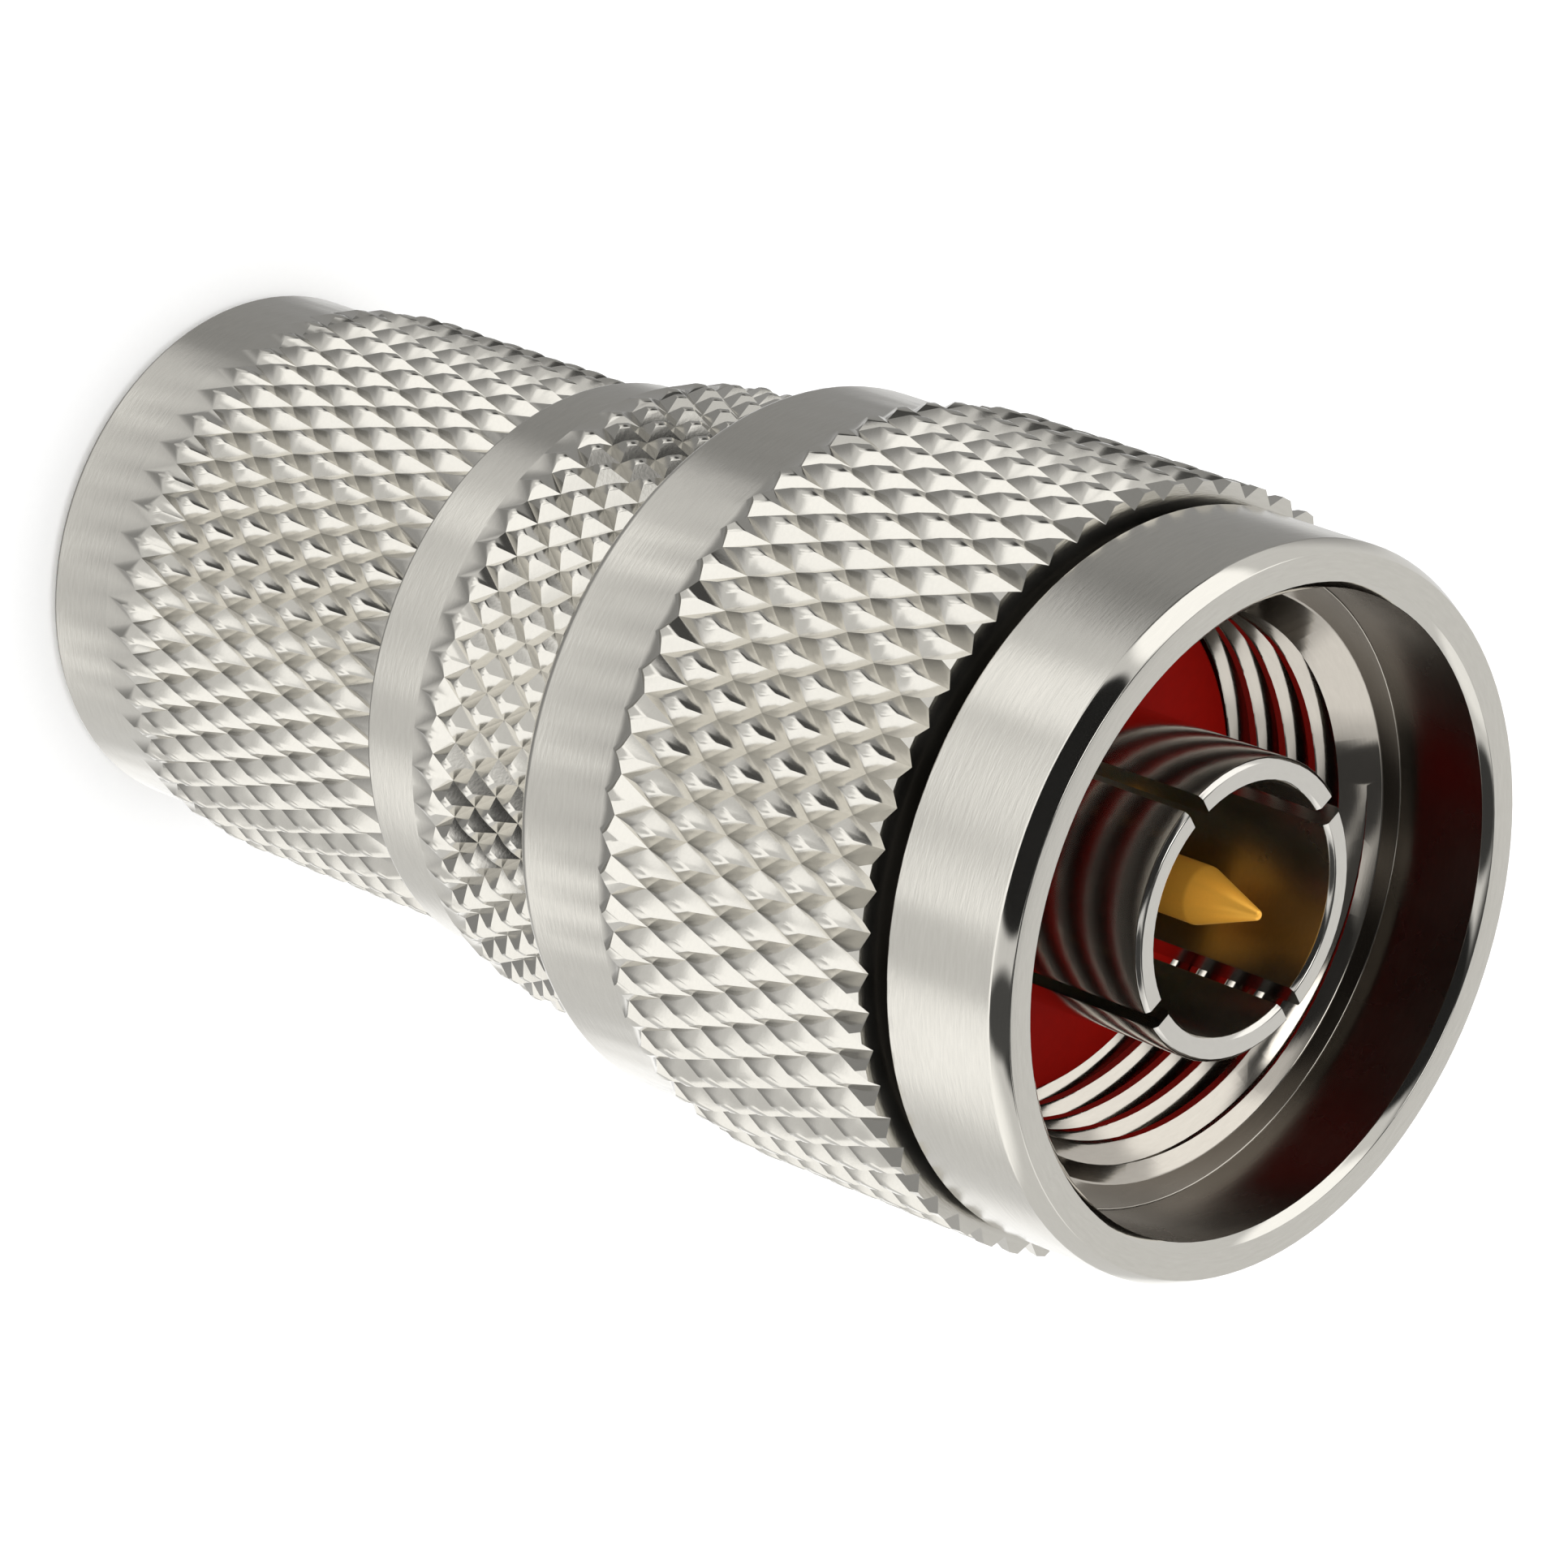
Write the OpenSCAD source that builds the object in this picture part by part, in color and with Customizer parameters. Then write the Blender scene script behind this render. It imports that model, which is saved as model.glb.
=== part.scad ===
// Coaxial adapter: N plug at the top, TNC plug at the bottom, each with its own free coupling nut.
// It stands on the front rim of the TNC nut. +Z runs along the axis towards the N plug.

/* [Main body] */
// Diameter over the crests of the fine knurl
body_knurl_d = 18.4; // [17.6:0.1:19.4]
// Depth of the fine knurl
body_knurl_depth = 0.38; // [0.25:0.01:0.45]
// Length of the finely knurled grip
body_grip_length = 5.1; // [4:0.1:7]
// Diamonds around the fine knurl
body_knurl_teeth = 51; // [40:1:60]
// Length of one fine diamond along the axis
body_knurl_pitch = 1.68; // [1.4:0.02:2.2]
// Diameter of the smooth ring beside the TNC nut
ring_d = 16.7; // [15.6:0.1:17.2]
// Length of the smooth ring
ring_length = 2.35; // [1.5:0.05:4]
// Diameter of the air line through the middle
air_line_d = 6.5; // [5:0.1:7]

/* [N coupling nut] */
// Overall length of the nut
n_nut_length = 18.2; // [17.5:0.1:21]
// Diameter of the smooth front band
n_band_d = 20.5; // [20:0.1:22]
// Length from the rim to the groove behind the band
n_band_length = 4.15; // [3.6:0.05:5]
// Outer diameter of the rim's flat face, inside its bevel
n_rim_d = 19.95; // [19:0.05:20]
// Length of that bevel along the axis
n_rim_bevel = 0.5; // [0.1:0.05:1]
// Width of the groove between the band and the knurl
n_groove_width = 0.5; // [0.3:0.05:1]
// Diameter at the bottom of that groove
n_groove_d = 19.2; // [18.8:0.1:19.6]
// Diameter over the crests of the coarse knurl
n_knurl_d = 21.5; // [21.2:0.1:22.6]
// Depth of the coarse knurl
n_knurl_depth = 0.38; // [0.25:0.01:0.5]
// Diamonds around the coarse knurl
n_knurl_teeth = 58; // [40:1:62]
// Length of one coarse diamond along the axis
n_knurl_pitch = 2.72; // [2.2:0.02:3]
// Diameter of the smooth collar at the rear
n_collar_d = 20.4; // [19.8:0.1:20.4]
// Length of the smooth collar
n_collar_length = 3.35; // [2.4:0.05:5]
// Size of the chamfer at the collar's rear edge
n_collar_chamfer = 0.45; // [0.1:0.05:0.8]
// Diameter of the plain mouth
n_mouth_d = 17.94; // [17.4:0.02:18.4]
// Depth of the plain mouth
n_mouth_depth = 3.15; // [2.4:0.05:3.5]
// Diameter where the lead-in cone starts
n_lead_in_d = 16.5; // [16:0.1:17]
// Minor diameter of the 5/8-24 thread
n_thread_d = 14.8; // [14.7:0.02:15]
// Diameter of the wide bore behind the thread
n_rear_bore_d = 16.2; // [15.9:0.1:16.6]

/* [TNC coupling nut] */
// Overall length of the nut
tnc_nut_length = 13.95; // [13.4:0.05:16]
// Diameter of the smooth front band
tnc_band_d = 15.2; // [14.8:0.1:15.4]
// Length of the smooth front band
tnc_band_length = 2.5; // [1.5:0.1:4]
// Size of the chamfer round the rim
tnc_rim_chamfer = 0.3; // [0.1:0.05:0.6]
// Diameter over the crests of the knurl
tnc_knurl_d = 16.2; // [16:0.1:16.8]
// Depth of the knurl
tnc_knurl_depth = 0.36; // [0.2:0.01:0.38]
// Diamonds around the knurl
tnc_knurl_teeth = 51; // [36:1:56]
// Length of one of its diamonds along the axis
tnc_knurl_pitch = 2.52; // [2:0.02:3]
// Diameter of the plain mouth
tnc_mouth_d = 11.8; // [11.4:0.1:12.6]
// Depth of the plain mouth
tnc_mouth_depth = 1.2; // [0.6:0.1:2]
// Minor diameter of the 7/16-28 thread
tnc_thread_d = 10.14; // [10.1:0.02:10.3]
// Diameter of the wide bore behind the thread
tnc_rear_bore_d = 12.2; // [11.9:0.1:12.4]

/* [N interface] */
// Depth of the slotted sleeve's edge below the nut's rim
n_sleeve_recess = 0.8; // [0.3:0.1:2]
// Outer diameter of the slotted sleeve
n_sleeve_d = 8.4; // [8.2:0.05:8.5]
// Bore of the slotted sleeve
n_sleeve_bore_d = 7; // [6.8:0.05:7.2]
// Length of the sleeve's slots
n_slot_length = 6; // [3:0.1:6.5]
// Depth of the pin's tip below the nut's rim
n_pin_recess = 0.3; // [0.1:0.1:2]
// Diameter of the contact pin
n_pin_d = 1.64; // [1.6:0.01:1.7]
// Length of the pin's conical tip
n_pin_cone = 2; // [1:0.1:2.5]
// Length of the pin ahead of its shoulder
n_pin_length = 5.6; // [4.5:0.1:6.5]
// Depth of the gasket's face below the nut's rim
n_gasket_depth = 7.9; // [7.7:0.05:8.6]
// Thickness of the gasket
n_gasket_thickness = 1.2; // [0.8:0.1:1.5]

/* [TNC interface] */
// Depth of the slotted sleeve's edge inside the nut's rim
tnc_sleeve_recess = 0.8; // [0.3:0.1:2]
// Wall of the slotted sleeve
tnc_sleeve_wall = 0.75; // [0.65:0.05:0.8]
// Length of the sleeve's slots
tnc_slot_length = 4.6; // [3:0.1:5]
// Depth of the pin's tip inside the nut's rim
tnc_pin_recess = 1; // [0.5:0.1:2]
// Diameter of the contact pin
tnc_pin_d = 1.35; // [1.3:0.01:1.4]
// Length of the pin's conical tip
tnc_pin_cone = 0.9; // [0.5:0.1:1.5]
// Length of the pin ahead of its shoulder
tnc_pin_length = 5; // [3.5:0.1:5.5]
// Depth of the gasket's face inside the nut's rim
tnc_gasket_depth = 7; // [6.8:0.05:7.4]
// Thickness of the gasket
tnc_gasket_thickness = 1; // [0.6:0.1:1.1]
// Radial width of the gasket between the sleeve and the nose
tnc_gasket_width = 0.77; // [0.7:0.01:0.9]

/* [Inner pieces] */
// Diameter of the centre conductor
conductor_d = 3.04; // [2.9:0.02:3.2]
// Diameter of the conductor's waist inside each insulating bead
waist_d = 2; // [1.8:0.05:2.4]
// Diameter of the tenon that joins the conductor's two halves
tenon_d = 1.8; // [1.2:0.1:2.2]
// Length of that tenon
tenon_length = 2; // [1:0.1:3]
// Thickness of the N bead
n_bead_length = 3.5; // [2.5:0.1:4]
// Thickness of the TNC bead
tnc_bead_length = 3; // [2:0.1:3.5]
// Length of each sleeve that is pressed into its body
press_length = 4; // [3:0.1:4.2]
// Wall left outside each sleeve's bore where it is pressed in
press_wall = 0.8; // [0.7:0.05:0.85]
// Width of the slots in both sleeves
slot_width = 0.6; // [0.3:0.05:0.8]
// Number of slots in each sleeve
slot_count = 4; // [2:1:6]
// Diameter of the TNC half's stub inside the main body
stub_d = 11; // [10.4:0.1:11.4]
// Length of that stub
stub_length = 4.85; // [4:0.05:5.2]
// Thickness of both snap rings along the axis
clip_thickness = 1; // [0.7:0.05:1.1]
// Depth of each snap ring's groove in its body
clip_depth = 0.9; // [0.6:0.05:1]
// Depth of each snap ring's groove in its nut
clip_bite = 0.55; // [0.4:0.05:0.6]
// Distance from each nut's rear face to the near side of the snap ring's groove
clip_offset = 1.9; // [1.6:0.05:2.2]
// Gap in each split snap ring
clip_split = 2.4; // [1:0.1:4]

/* [Clearances] */
// Gap along the axis between each nut and the main body
nut_gap = 0.2; // [0.1:0.05:0.4]
// Radial clearance between each nut and the body that it turns on
run_gap = 0.1; // [0.05:0.01:0.1]
// Radial clearance of the pieces that are pressed together
press_gap = 0.02; // [0.01:0.005:0.03]
// Clearance round the snap rings
clip_gap = 0.1; // [0.05:0.01:0.15]

/* [Hidden] */

nickel = "#b5b3a8";
polished = "#c9c8c2";
gold = "#d9a036";
bronze = "#b08d57";
ptfe = "#f1f0ea";
silicone = "#a81f12";

// How deep a knurl's ring of diamonds is rooted below the turned surface under it
knurl_root = 0.7;
// Small radial step from a smooth band down to the bottom of the knurl's valleys
knurl_rise = 0.05;
// Least height of a knurl's lowest row, as a share of a full row
least_row = 0.1;
// Height over which the turned blank ends inside a knurl
blank_relief = 0.1;
// Radius of the flat that blunts each pin's point
tip_r = 0.12;
// Radial clearance between the gaskets and the sleeves inside them
gasket_gap = 0.05;
// Step up from each sleeve's contact surface to its gasket seat
seat_step = 0.1;
// Bevel at the front edge of both sleeves
sleeve_bevel = 0.12;
// Facets that stand for a full circle
smooth = 96;
// Overlap that makes a cut pass its surface
past = 1;

// Levels along the axis, from the TNC rim upwards
ring_z = tnc_nut_length + nut_gap;
grip_z = ring_z + ring_length;
grip_top_z = grip_z + body_grip_length;
n_rear_z = grip_top_z + nut_gap;
top_z = n_rear_z + n_nut_length;

n_collar_top_z = n_rear_z + n_collar_length;
n_groove_z = top_z - n_band_length - n_groove_width;
n_mouth_z = top_z - n_mouth_depth;
n_thread_top_z = n_mouth_z - (n_lead_in_d - n_thread_d) / 2;
n_gasket_top_z = top_z - n_gasket_depth;
n_seat_z = n_gasket_top_z - n_gasket_thickness;
n_nose_length = 1.2;
n_shank_top_z = n_seat_z - n_nose_length;
n_sleeve_top_z = top_z - n_sleeve_recess;
n_press_z = n_seat_z - press_length;
n_bead_z = n_press_z - n_bead_length;
n_tip_z = top_z - n_pin_recess;
n_shoulder_z = n_tip_z - n_pin_length;

tnc_thread_z = tnc_mouth_depth + (tnc_mouth_d - tnc_thread_d) / 2;
tnc_seat_z = tnc_gasket_depth + tnc_gasket_thickness;
tnc_nose_length = 0.9;
tnc_flange_z = tnc_seat_z + tnc_nose_length;
tnc_press_z = tnc_seat_z + press_length;
tnc_bead_z = tnc_press_z + tnc_bead_length;
tnc_shoulder_z = tnc_pin_recess + tnc_pin_length;
stub_top_z = ring_z + stub_length;

// Diameters that follow from what they fit
n_nose_d = n_thread_d - 2 * run_gap;
n_shank_d = n_rear_bore_d - 2 * run_gap;
tnc_nose_d = tnc_thread_d - 2 * run_gap;
tnc_flange_d = tnc_rear_bore_d - 2 * run_gap;
tnc_gasket_d = tnc_nose_d - 2 * tnc_gasket_width;
tnc_sleeve_d = tnc_gasket_d - 2 * gasket_gap - 2 * seat_step;
tnc_sleeve_bore_d = tnc_sleeve_d - 2 * tnc_sleeve_wall;
n_press_d = n_sleeve_bore_d + 2 * press_wall;
tnc_press_d = tnc_sleeve_bore_d + 2 * press_wall;
clip_room = clip_thickness + 2 * clip_gap;
n_clip_z = n_rear_z + clip_offset;
tnc_clip_z = tnc_nut_length - clip_offset - clip_room;

// A turned piece from its half section, as [radius, height] points
module turned(section) {
    rotate_extrude($fn = smooth) polygon(section);
}

// A point on a cylinder
function on_cylinder(r, angle, z) = [r * cos(angle), r * sin(angle), z];

// A ring of raised diamonds. Points with an odd column and row sum are crests, the others are the
// crossings of the two families of grooves, so each diamond is four faces between straight valleys.
// Rows are half a pitch apart and counted from the top, and what is left over shortens the lowest,
// which runs out at low_end_r.
module diamond_knurl(z0, z1, crest_r, depth, low_end_r, top_end_r, root_r, teeth, pitch) {
    row_height = pitch / 2;
    rows = ceil((z1 - z0) / row_height - least_row);
    columns = 2 * teeth;
    step = 360 / columns;
    function row_z(j) = j == 0 ? z0 : z1 - (rows - j) * row_height;
    function tip_end_r(j) = j == rows ? top_end_r : crest_r;
    function skin_r(i, j) = j == 0 ? low_end_r : (i + j) % 2 == 0 ? crest_r - depth : tip_end_r(j);
    function at(i, j) = j * columns + i % columns;
    // Half of a cell of the grid, split along the valley that crosses it
    function half_cell(i, j, half) = (i + j) % 2 == 0
        ? (half == 0
            ? [at(i, j), at(i + 1, j + 1), at(i + 1, j)]
            : [at(i, j), at(i, j + 1), at(i + 1, j + 1)])
        : (half == 0
            ? [at(i, j), at(i, j + 1), at(i + 1, j)]
            : [at(i, j + 1), at(i + 1, j + 1), at(i + 1, j)]);
    inner = (rows + 1) * columns;
    points = [
        for (j = [0 : rows], i = [0 : columns - 1])
            on_cylinder(skin_r(i, j), i * step, row_z(j)),
        for (z = [z0, z1], i = [0 : columns - 1]) on_cylinder(root_r, i * step, z)
    ];
    faces = [
        for (j = [0 : rows - 1], i = [0 : columns - 1], half = [0, 1])
            half_cell(i, j, half),
        for (i = [0 : columns - 1])
            [at(i, 0), at(i + 1, 0), inner + at(i + 1, 0), inner + at(i, 0)],
        for (i = [0 : columns - 1])
            [at(i + 1, rows), at(i, rows), inner + at(i, 1), inner + at(i + 1, 1)],
        for (i = [0 : columns - 1])
            [inner + at(i, 0), inner + at(i + 1, 0), inner + at(i + 1, 1), inner + at(i, 1)]
    ];
    polyhedron(points, faces);
}

// Slots that split a sleeve into fingers, from height z0 to z1
module finger_slots(outer_d, z0, z1) {
    for (i = [0 : slot_count - 1])
        rotate(i * 360 / slot_count)
            translate([0, -slot_width / 2, z0])
                cube([outer_d, slot_width, z1 - z0]);
}

// Shank that the N nut turns on, finely knurled grip, smooth ring, and the sockets for the inner pieces
module main_body() {
    grip_r = body_knurl_d / 2;
    blank_r = grip_r - body_knurl_depth - knurl_rise;
    groove_r = n_shank_d / 2 - clip_depth;
    color(nickel) {
        turned([
            [stub_d / 2, ring_z],
            [ring_d / 2, ring_z],
            [ring_d / 2, grip_z + blank_relief],
            [blank_r, grip_z + blank_relief],
            [blank_r, grip_top_z],
            [n_shank_d / 2, grip_top_z],
            [n_shank_d / 2, n_clip_z],
            [groove_r, n_clip_z],
            [groove_r, n_clip_z + clip_room],
            [n_shank_d / 2, n_clip_z + clip_room],
            [n_shank_d / 2, n_shank_top_z],
            [n_nose_d / 2, n_shank_top_z],
            [n_nose_d / 2, n_seat_z],
            [n_press_d / 2, n_seat_z],
            [n_press_d / 2, n_bead_z],
            [air_line_d / 2, n_bead_z],
            [air_line_d / 2, stub_top_z],
            [stub_d / 2, stub_top_z]
        ]);
        diamond_knurl(
            grip_z, grip_top_z - blank_relief, grip_r, body_knurl_depth,
            blank_r + knurl_rise, grip_r, ring_d / 2 - knurl_root,
            body_knurl_teeth, body_knurl_pitch
        );
    }
}

// TNC half: nose and flange that the TNC nut turns on, and a stub that fills the main body's rear socket
module tnc_body() {
    groove_r = tnc_flange_d / 2 - clip_depth;
    color(nickel)
        turned([
            [tnc_press_d / 2, tnc_seat_z],
            [tnc_nose_d / 2, tnc_seat_z],
            [tnc_nose_d / 2, tnc_flange_z],
            [tnc_flange_d / 2, tnc_flange_z],
            [tnc_flange_d / 2, tnc_clip_z],
            [groove_r, tnc_clip_z],
            [groove_r, tnc_clip_z + clip_room],
            [tnc_flange_d / 2, tnc_clip_z + clip_room],
            [tnc_flange_d / 2, ring_z],
            [stub_d / 2 - press_gap, ring_z],
            [stub_d / 2 - press_gap, stub_top_z],
            [air_line_d / 2, stub_top_z],
            [air_line_d / 2, tnc_bead_z],
            [tnc_press_d / 2, tnc_bead_z]
        ]);
}

// Free-turning nut of the N plug: smooth band, groove, coarse knurl and smooth collar
module n_nut() {
    collar_r = n_collar_d / 2;
    band_r = n_band_d / 2;
    groove_r = n_rear_bore_d / 2 + clip_bite;
    bore_top_z = n_shank_top_z + nut_gap;
    color(nickel) {
        turned([
            [n_rear_bore_d / 2, n_rear_z],
            [collar_r - n_collar_chamfer, n_rear_z],
            [collar_r, n_rear_z + n_collar_chamfer],
            [collar_r, n_groove_z - blank_relief],
            [n_groove_d / 2, n_groove_z - blank_relief],
            [n_groove_d / 2, n_groove_z + n_groove_width],
            [band_r, n_groove_z + n_groove_width],
            [band_r, top_z - n_rim_bevel],
            [n_rim_d / 2, top_z],
            [n_mouth_d / 2, top_z],
            [n_mouth_d / 2, n_mouth_z],
            [n_lead_in_d / 2, n_mouth_z],
            [n_thread_d / 2, n_thread_top_z],
            [n_thread_d / 2, bore_top_z],
            [n_rear_bore_d / 2, bore_top_z],
            [n_rear_bore_d / 2, n_clip_z + clip_room],
            [groove_r, n_clip_z + clip_room],
            [groove_r, n_clip_z],
            [n_rear_bore_d / 2, n_clip_z]
        ]);
        diamond_knurl(
            n_collar_top_z, n_groove_z, n_knurl_d / 2, n_knurl_depth,
            collar_r + knurl_rise, n_knurl_d / 2, n_groove_d / 2 - 2 * blank_relief,
            n_knurl_teeth, n_knurl_pitch
        );
    }
}

// Free-turning nut of the TNC plug, which the adapter stands on
module tnc_nut() {
    band_r = tnc_band_d / 2;
    groove_r = tnc_rear_bore_d / 2 + clip_bite;
    bore_z = tnc_flange_z - nut_gap;
    color(nickel) {
        turned([
            [tnc_mouth_d / 2, 0],
            [band_r - tnc_rim_chamfer, 0],
            [band_r, tnc_rim_chamfer],
            [band_r, tnc_nut_length],
            [tnc_rear_bore_d / 2, tnc_nut_length],
            [tnc_rear_bore_d / 2, tnc_clip_z + clip_room],
            [groove_r, tnc_clip_z + clip_room],
            [groove_r, tnc_clip_z],
            [tnc_rear_bore_d / 2, tnc_clip_z],
            [tnc_rear_bore_d / 2, bore_z],
            [tnc_thread_d / 2, bore_z],
            [tnc_thread_d / 2, tnc_thread_z],
            [tnc_mouth_d / 2, tnc_mouth_depth]
        ]);
        diamond_knurl(
            tnc_band_length, tnc_nut_length - blank_relief, tnc_knurl_d / 2, tnc_knurl_depth,
            band_r + knurl_rise, tnc_knurl_d / 2 - tnc_knurl_depth / 2, band_r - knurl_root,
            tnc_knurl_teeth, tnc_knurl_pitch
        );
    }
}

// Slotted outer contact of the N plug, pressed into the main body over the bead
module n_sleeve() {
    r = n_sleeve_d / 2;
    bore_r = n_sleeve_bore_d / 2;
    seat_r = min(r + seat_step, n_press_d / 2 - press_gap);
    color(polished)
        difference() {
            turned([
                [bore_r, n_press_z],
                [n_press_d / 2 - press_gap, n_press_z],
                [n_press_d / 2 - press_gap, n_seat_z],
                [seat_r, n_seat_z],
                [seat_r, n_gasket_top_z],
                [r, n_gasket_top_z],
                [r, n_sleeve_top_z - sleeve_bevel],
                [r - sleeve_bevel, n_sleeve_top_z],
                [bore_r + sleeve_bevel, n_sleeve_top_z],
                [bore_r, n_sleeve_top_z - sleeve_bevel]
            ]);
            finger_slots(n_sleeve_d, n_sleeve_top_z - n_slot_length, n_sleeve_top_z + past);
        }
}

// Slotted outer contact of the TNC plug, pressed into the TNC half under the bead
module tnc_sleeve() {
    r = tnc_sleeve_d / 2;
    bore_r = tnc_sleeve_bore_d / 2;
    seat_r = min(r + seat_step, tnc_press_d / 2 - press_gap);
    color(polished)
        difference() {
            turned([
                [bore_r, tnc_sleeve_recess + sleeve_bevel],
                [bore_r + sleeve_bevel, tnc_sleeve_recess],
                [r - sleeve_bevel, tnc_sleeve_recess],
                [r, tnc_sleeve_recess + sleeve_bevel],
                [r, tnc_gasket_depth],
                [seat_r, tnc_gasket_depth],
                [seat_r, tnc_seat_z],
                [tnc_press_d / 2 - press_gap, tnc_seat_z],
                [tnc_press_d / 2 - press_gap, tnc_press_z],
                [bore_r, tnc_press_z]
            ]);
            finger_slots(tnc_sleeve_d, tnc_sleeve_recess - past, tnc_sleeve_recess + tnc_slot_length);
        }
}

// Centre conductor of the N plug, with its conical pin, the waist in the bead and a socket at its tail
module n_pin() {
    r = n_pin_d / 2;
    color(gold)
        turned([
            [0, n_tip_z],
            [0, stub_top_z + tenon_length],
            [tenon_d / 2, stub_top_z + tenon_length],
            [tenon_d / 2, stub_top_z],
            [conductor_d / 2, stub_top_z],
            [conductor_d / 2, n_bead_z],
            [waist_d / 2, n_bead_z],
            [waist_d / 2, n_press_z],
            [conductor_d / 2, n_press_z],
            [conductor_d / 2, n_shoulder_z],
            [r, n_shoulder_z],
            [r, n_tip_z - n_pin_cone],
            [tip_r, n_tip_z]
        ]);
}

// Centre conductor of the TNC plug, with its pin, the waist in the bead and a tenon for the other half
module tnc_pin() {
    r = tnc_pin_d / 2;
    tenon_r = tenon_d / 2 - press_gap;
    color(gold)
        turned([
            [0, tnc_pin_recess],
            [tip_r, tnc_pin_recess],
            [r, tnc_pin_recess + tnc_pin_cone],
            [r, tnc_shoulder_z],
            [conductor_d / 2, tnc_shoulder_z],
            [conductor_d / 2, tnc_press_z],
            [waist_d / 2, tnc_press_z],
            [waist_d / 2, tnc_bead_z],
            [conductor_d / 2, tnc_bead_z],
            [conductor_d / 2, stub_top_z],
            [tenon_r, stub_top_z],
            [tenon_r, stub_top_z + tenon_length],
            [0, stub_top_z + tenon_length]
        ]);
}

// A ring of rectangular section
module flat_ring(inner_d, outer_d, z0, z1) {
    turned([
        [inner_d / 2, z0],
        [outer_d / 2, z0],
        [outer_d / 2, z1],
        [inner_d / 2, z1]
    ]);
}

// Insulating bead under the N sleeve
module n_bead() {
    color(ptfe)
        flat_ring(waist_d + 2 * press_gap, n_press_d - 2 * press_gap, n_bead_z, n_press_z);
}

// Insulating bead over the TNC sleeve
module tnc_bead() {
    color(ptfe)
        flat_ring(waist_d + 2 * press_gap, tnc_press_d - 2 * press_gap, tnc_press_z, tnc_bead_z);
}

// Gasket on the N seat, round the foot of the sleeve
module n_gasket() {
    inner_d = n_sleeve_d + 2 * seat_step + 2 * gasket_gap;
    color(silicone)
        flat_ring(inner_d, n_nose_d, n_seat_z, n_gasket_top_z);
}

// Gasket on the TNC seat, round the foot of the sleeve
module tnc_gasket() {
    color(silicone)
        flat_ring(tnc_gasket_d, tnc_nose_d, tnc_gasket_depth, tnc_seat_z);
}

// A split ring that sits in a body's groove and reaches into the nut's groove
module snap_ring(groove_d, nut_groove_d, z0) {
    low_z = z0 + clip_gap;
    difference() {
        flat_ring(groove_d + 2 * press_gap, nut_groove_d - 2 * clip_gap, low_z, low_z + clip_thickness);
        translate([0, -clip_split / 2, z0])
            cube([nut_groove_d, clip_split, clip_room]);
    }
}

// Snap ring that holds the N nut on
module n_clip() {
    color(bronze)
        snap_ring(n_shank_d - 2 * clip_depth, n_rear_bore_d + 2 * clip_bite, n_clip_z);
}

// Snap ring that holds the TNC nut on
module tnc_clip() {
    color(bronze)
        snap_ring(tnc_flange_d - 2 * clip_depth, tnc_rear_bore_d + 2 * clip_bite, tnc_clip_z);
}

main_body();
tnc_body();
n_nut();
tnc_nut();
n_sleeve();
tnc_sleeve();
n_pin();
tnc_pin();
n_bead();
tnc_bead();
n_gasket();
tnc_gasket();
n_clip();
tnc_clip();
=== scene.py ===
"""Looks of a coaxial adapter: N plug at the top, TNC plug at the bottom, each with its own free coupling nut.

Every metal piece is drawn as a half section, spun about the adapter's axis and then finished: knurled,
threaded or slotted. Lengths named in this file are in millimetres, and Blender gets them in metres.
"""

import math

import bmesh
import bpy
from bpy.props import FloatProperty, FloatVectorProperty, IntProperty, PointerProperty
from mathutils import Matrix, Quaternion, Vector


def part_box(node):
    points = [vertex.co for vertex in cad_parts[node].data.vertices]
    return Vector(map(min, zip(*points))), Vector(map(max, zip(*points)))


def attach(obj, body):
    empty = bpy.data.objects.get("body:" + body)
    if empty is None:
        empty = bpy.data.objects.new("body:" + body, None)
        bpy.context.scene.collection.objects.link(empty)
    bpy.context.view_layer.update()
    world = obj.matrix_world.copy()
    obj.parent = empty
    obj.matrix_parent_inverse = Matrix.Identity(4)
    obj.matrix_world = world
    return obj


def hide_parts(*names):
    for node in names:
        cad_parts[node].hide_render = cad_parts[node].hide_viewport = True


bl_info = {
    "name": "Coaxial adapter",
    "version": (1, 0, 0),
    "blender": (4, 5, 0),
    "location": "View3D > Sidebar > Adapter",
    "description": "Builds a coaxial adapter with two knurled coupling nuts round its packed model",
    "category": "Object",
}

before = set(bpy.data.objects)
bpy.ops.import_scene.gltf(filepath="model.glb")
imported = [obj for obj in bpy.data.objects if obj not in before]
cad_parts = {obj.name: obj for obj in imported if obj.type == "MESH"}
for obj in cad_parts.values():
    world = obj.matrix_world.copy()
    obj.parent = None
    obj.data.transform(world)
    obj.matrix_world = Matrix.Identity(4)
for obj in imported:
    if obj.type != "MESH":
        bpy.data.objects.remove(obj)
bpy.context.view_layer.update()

MM = 0.001
MICRON = 1e-6
FULL_TURN = 2 * math.pi
# Distance under which two vertices are one, in metres
WELD = 1e-6
# How near a vertex has to be to the place asked for, in millimetres
NEAR = 0.004
# How far the middle of a flat face may lie under the round surface that it stands for, in millimetres
SAG = 0.02
# Edges that bend by less than this are shaded smooth
SMOOTH_UNDER = math.radians(33)


def levels(node_name):
    """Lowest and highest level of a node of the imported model, in millimetres."""
    low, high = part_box(node_name)
    return low.z / MM, high.z / MM


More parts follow.
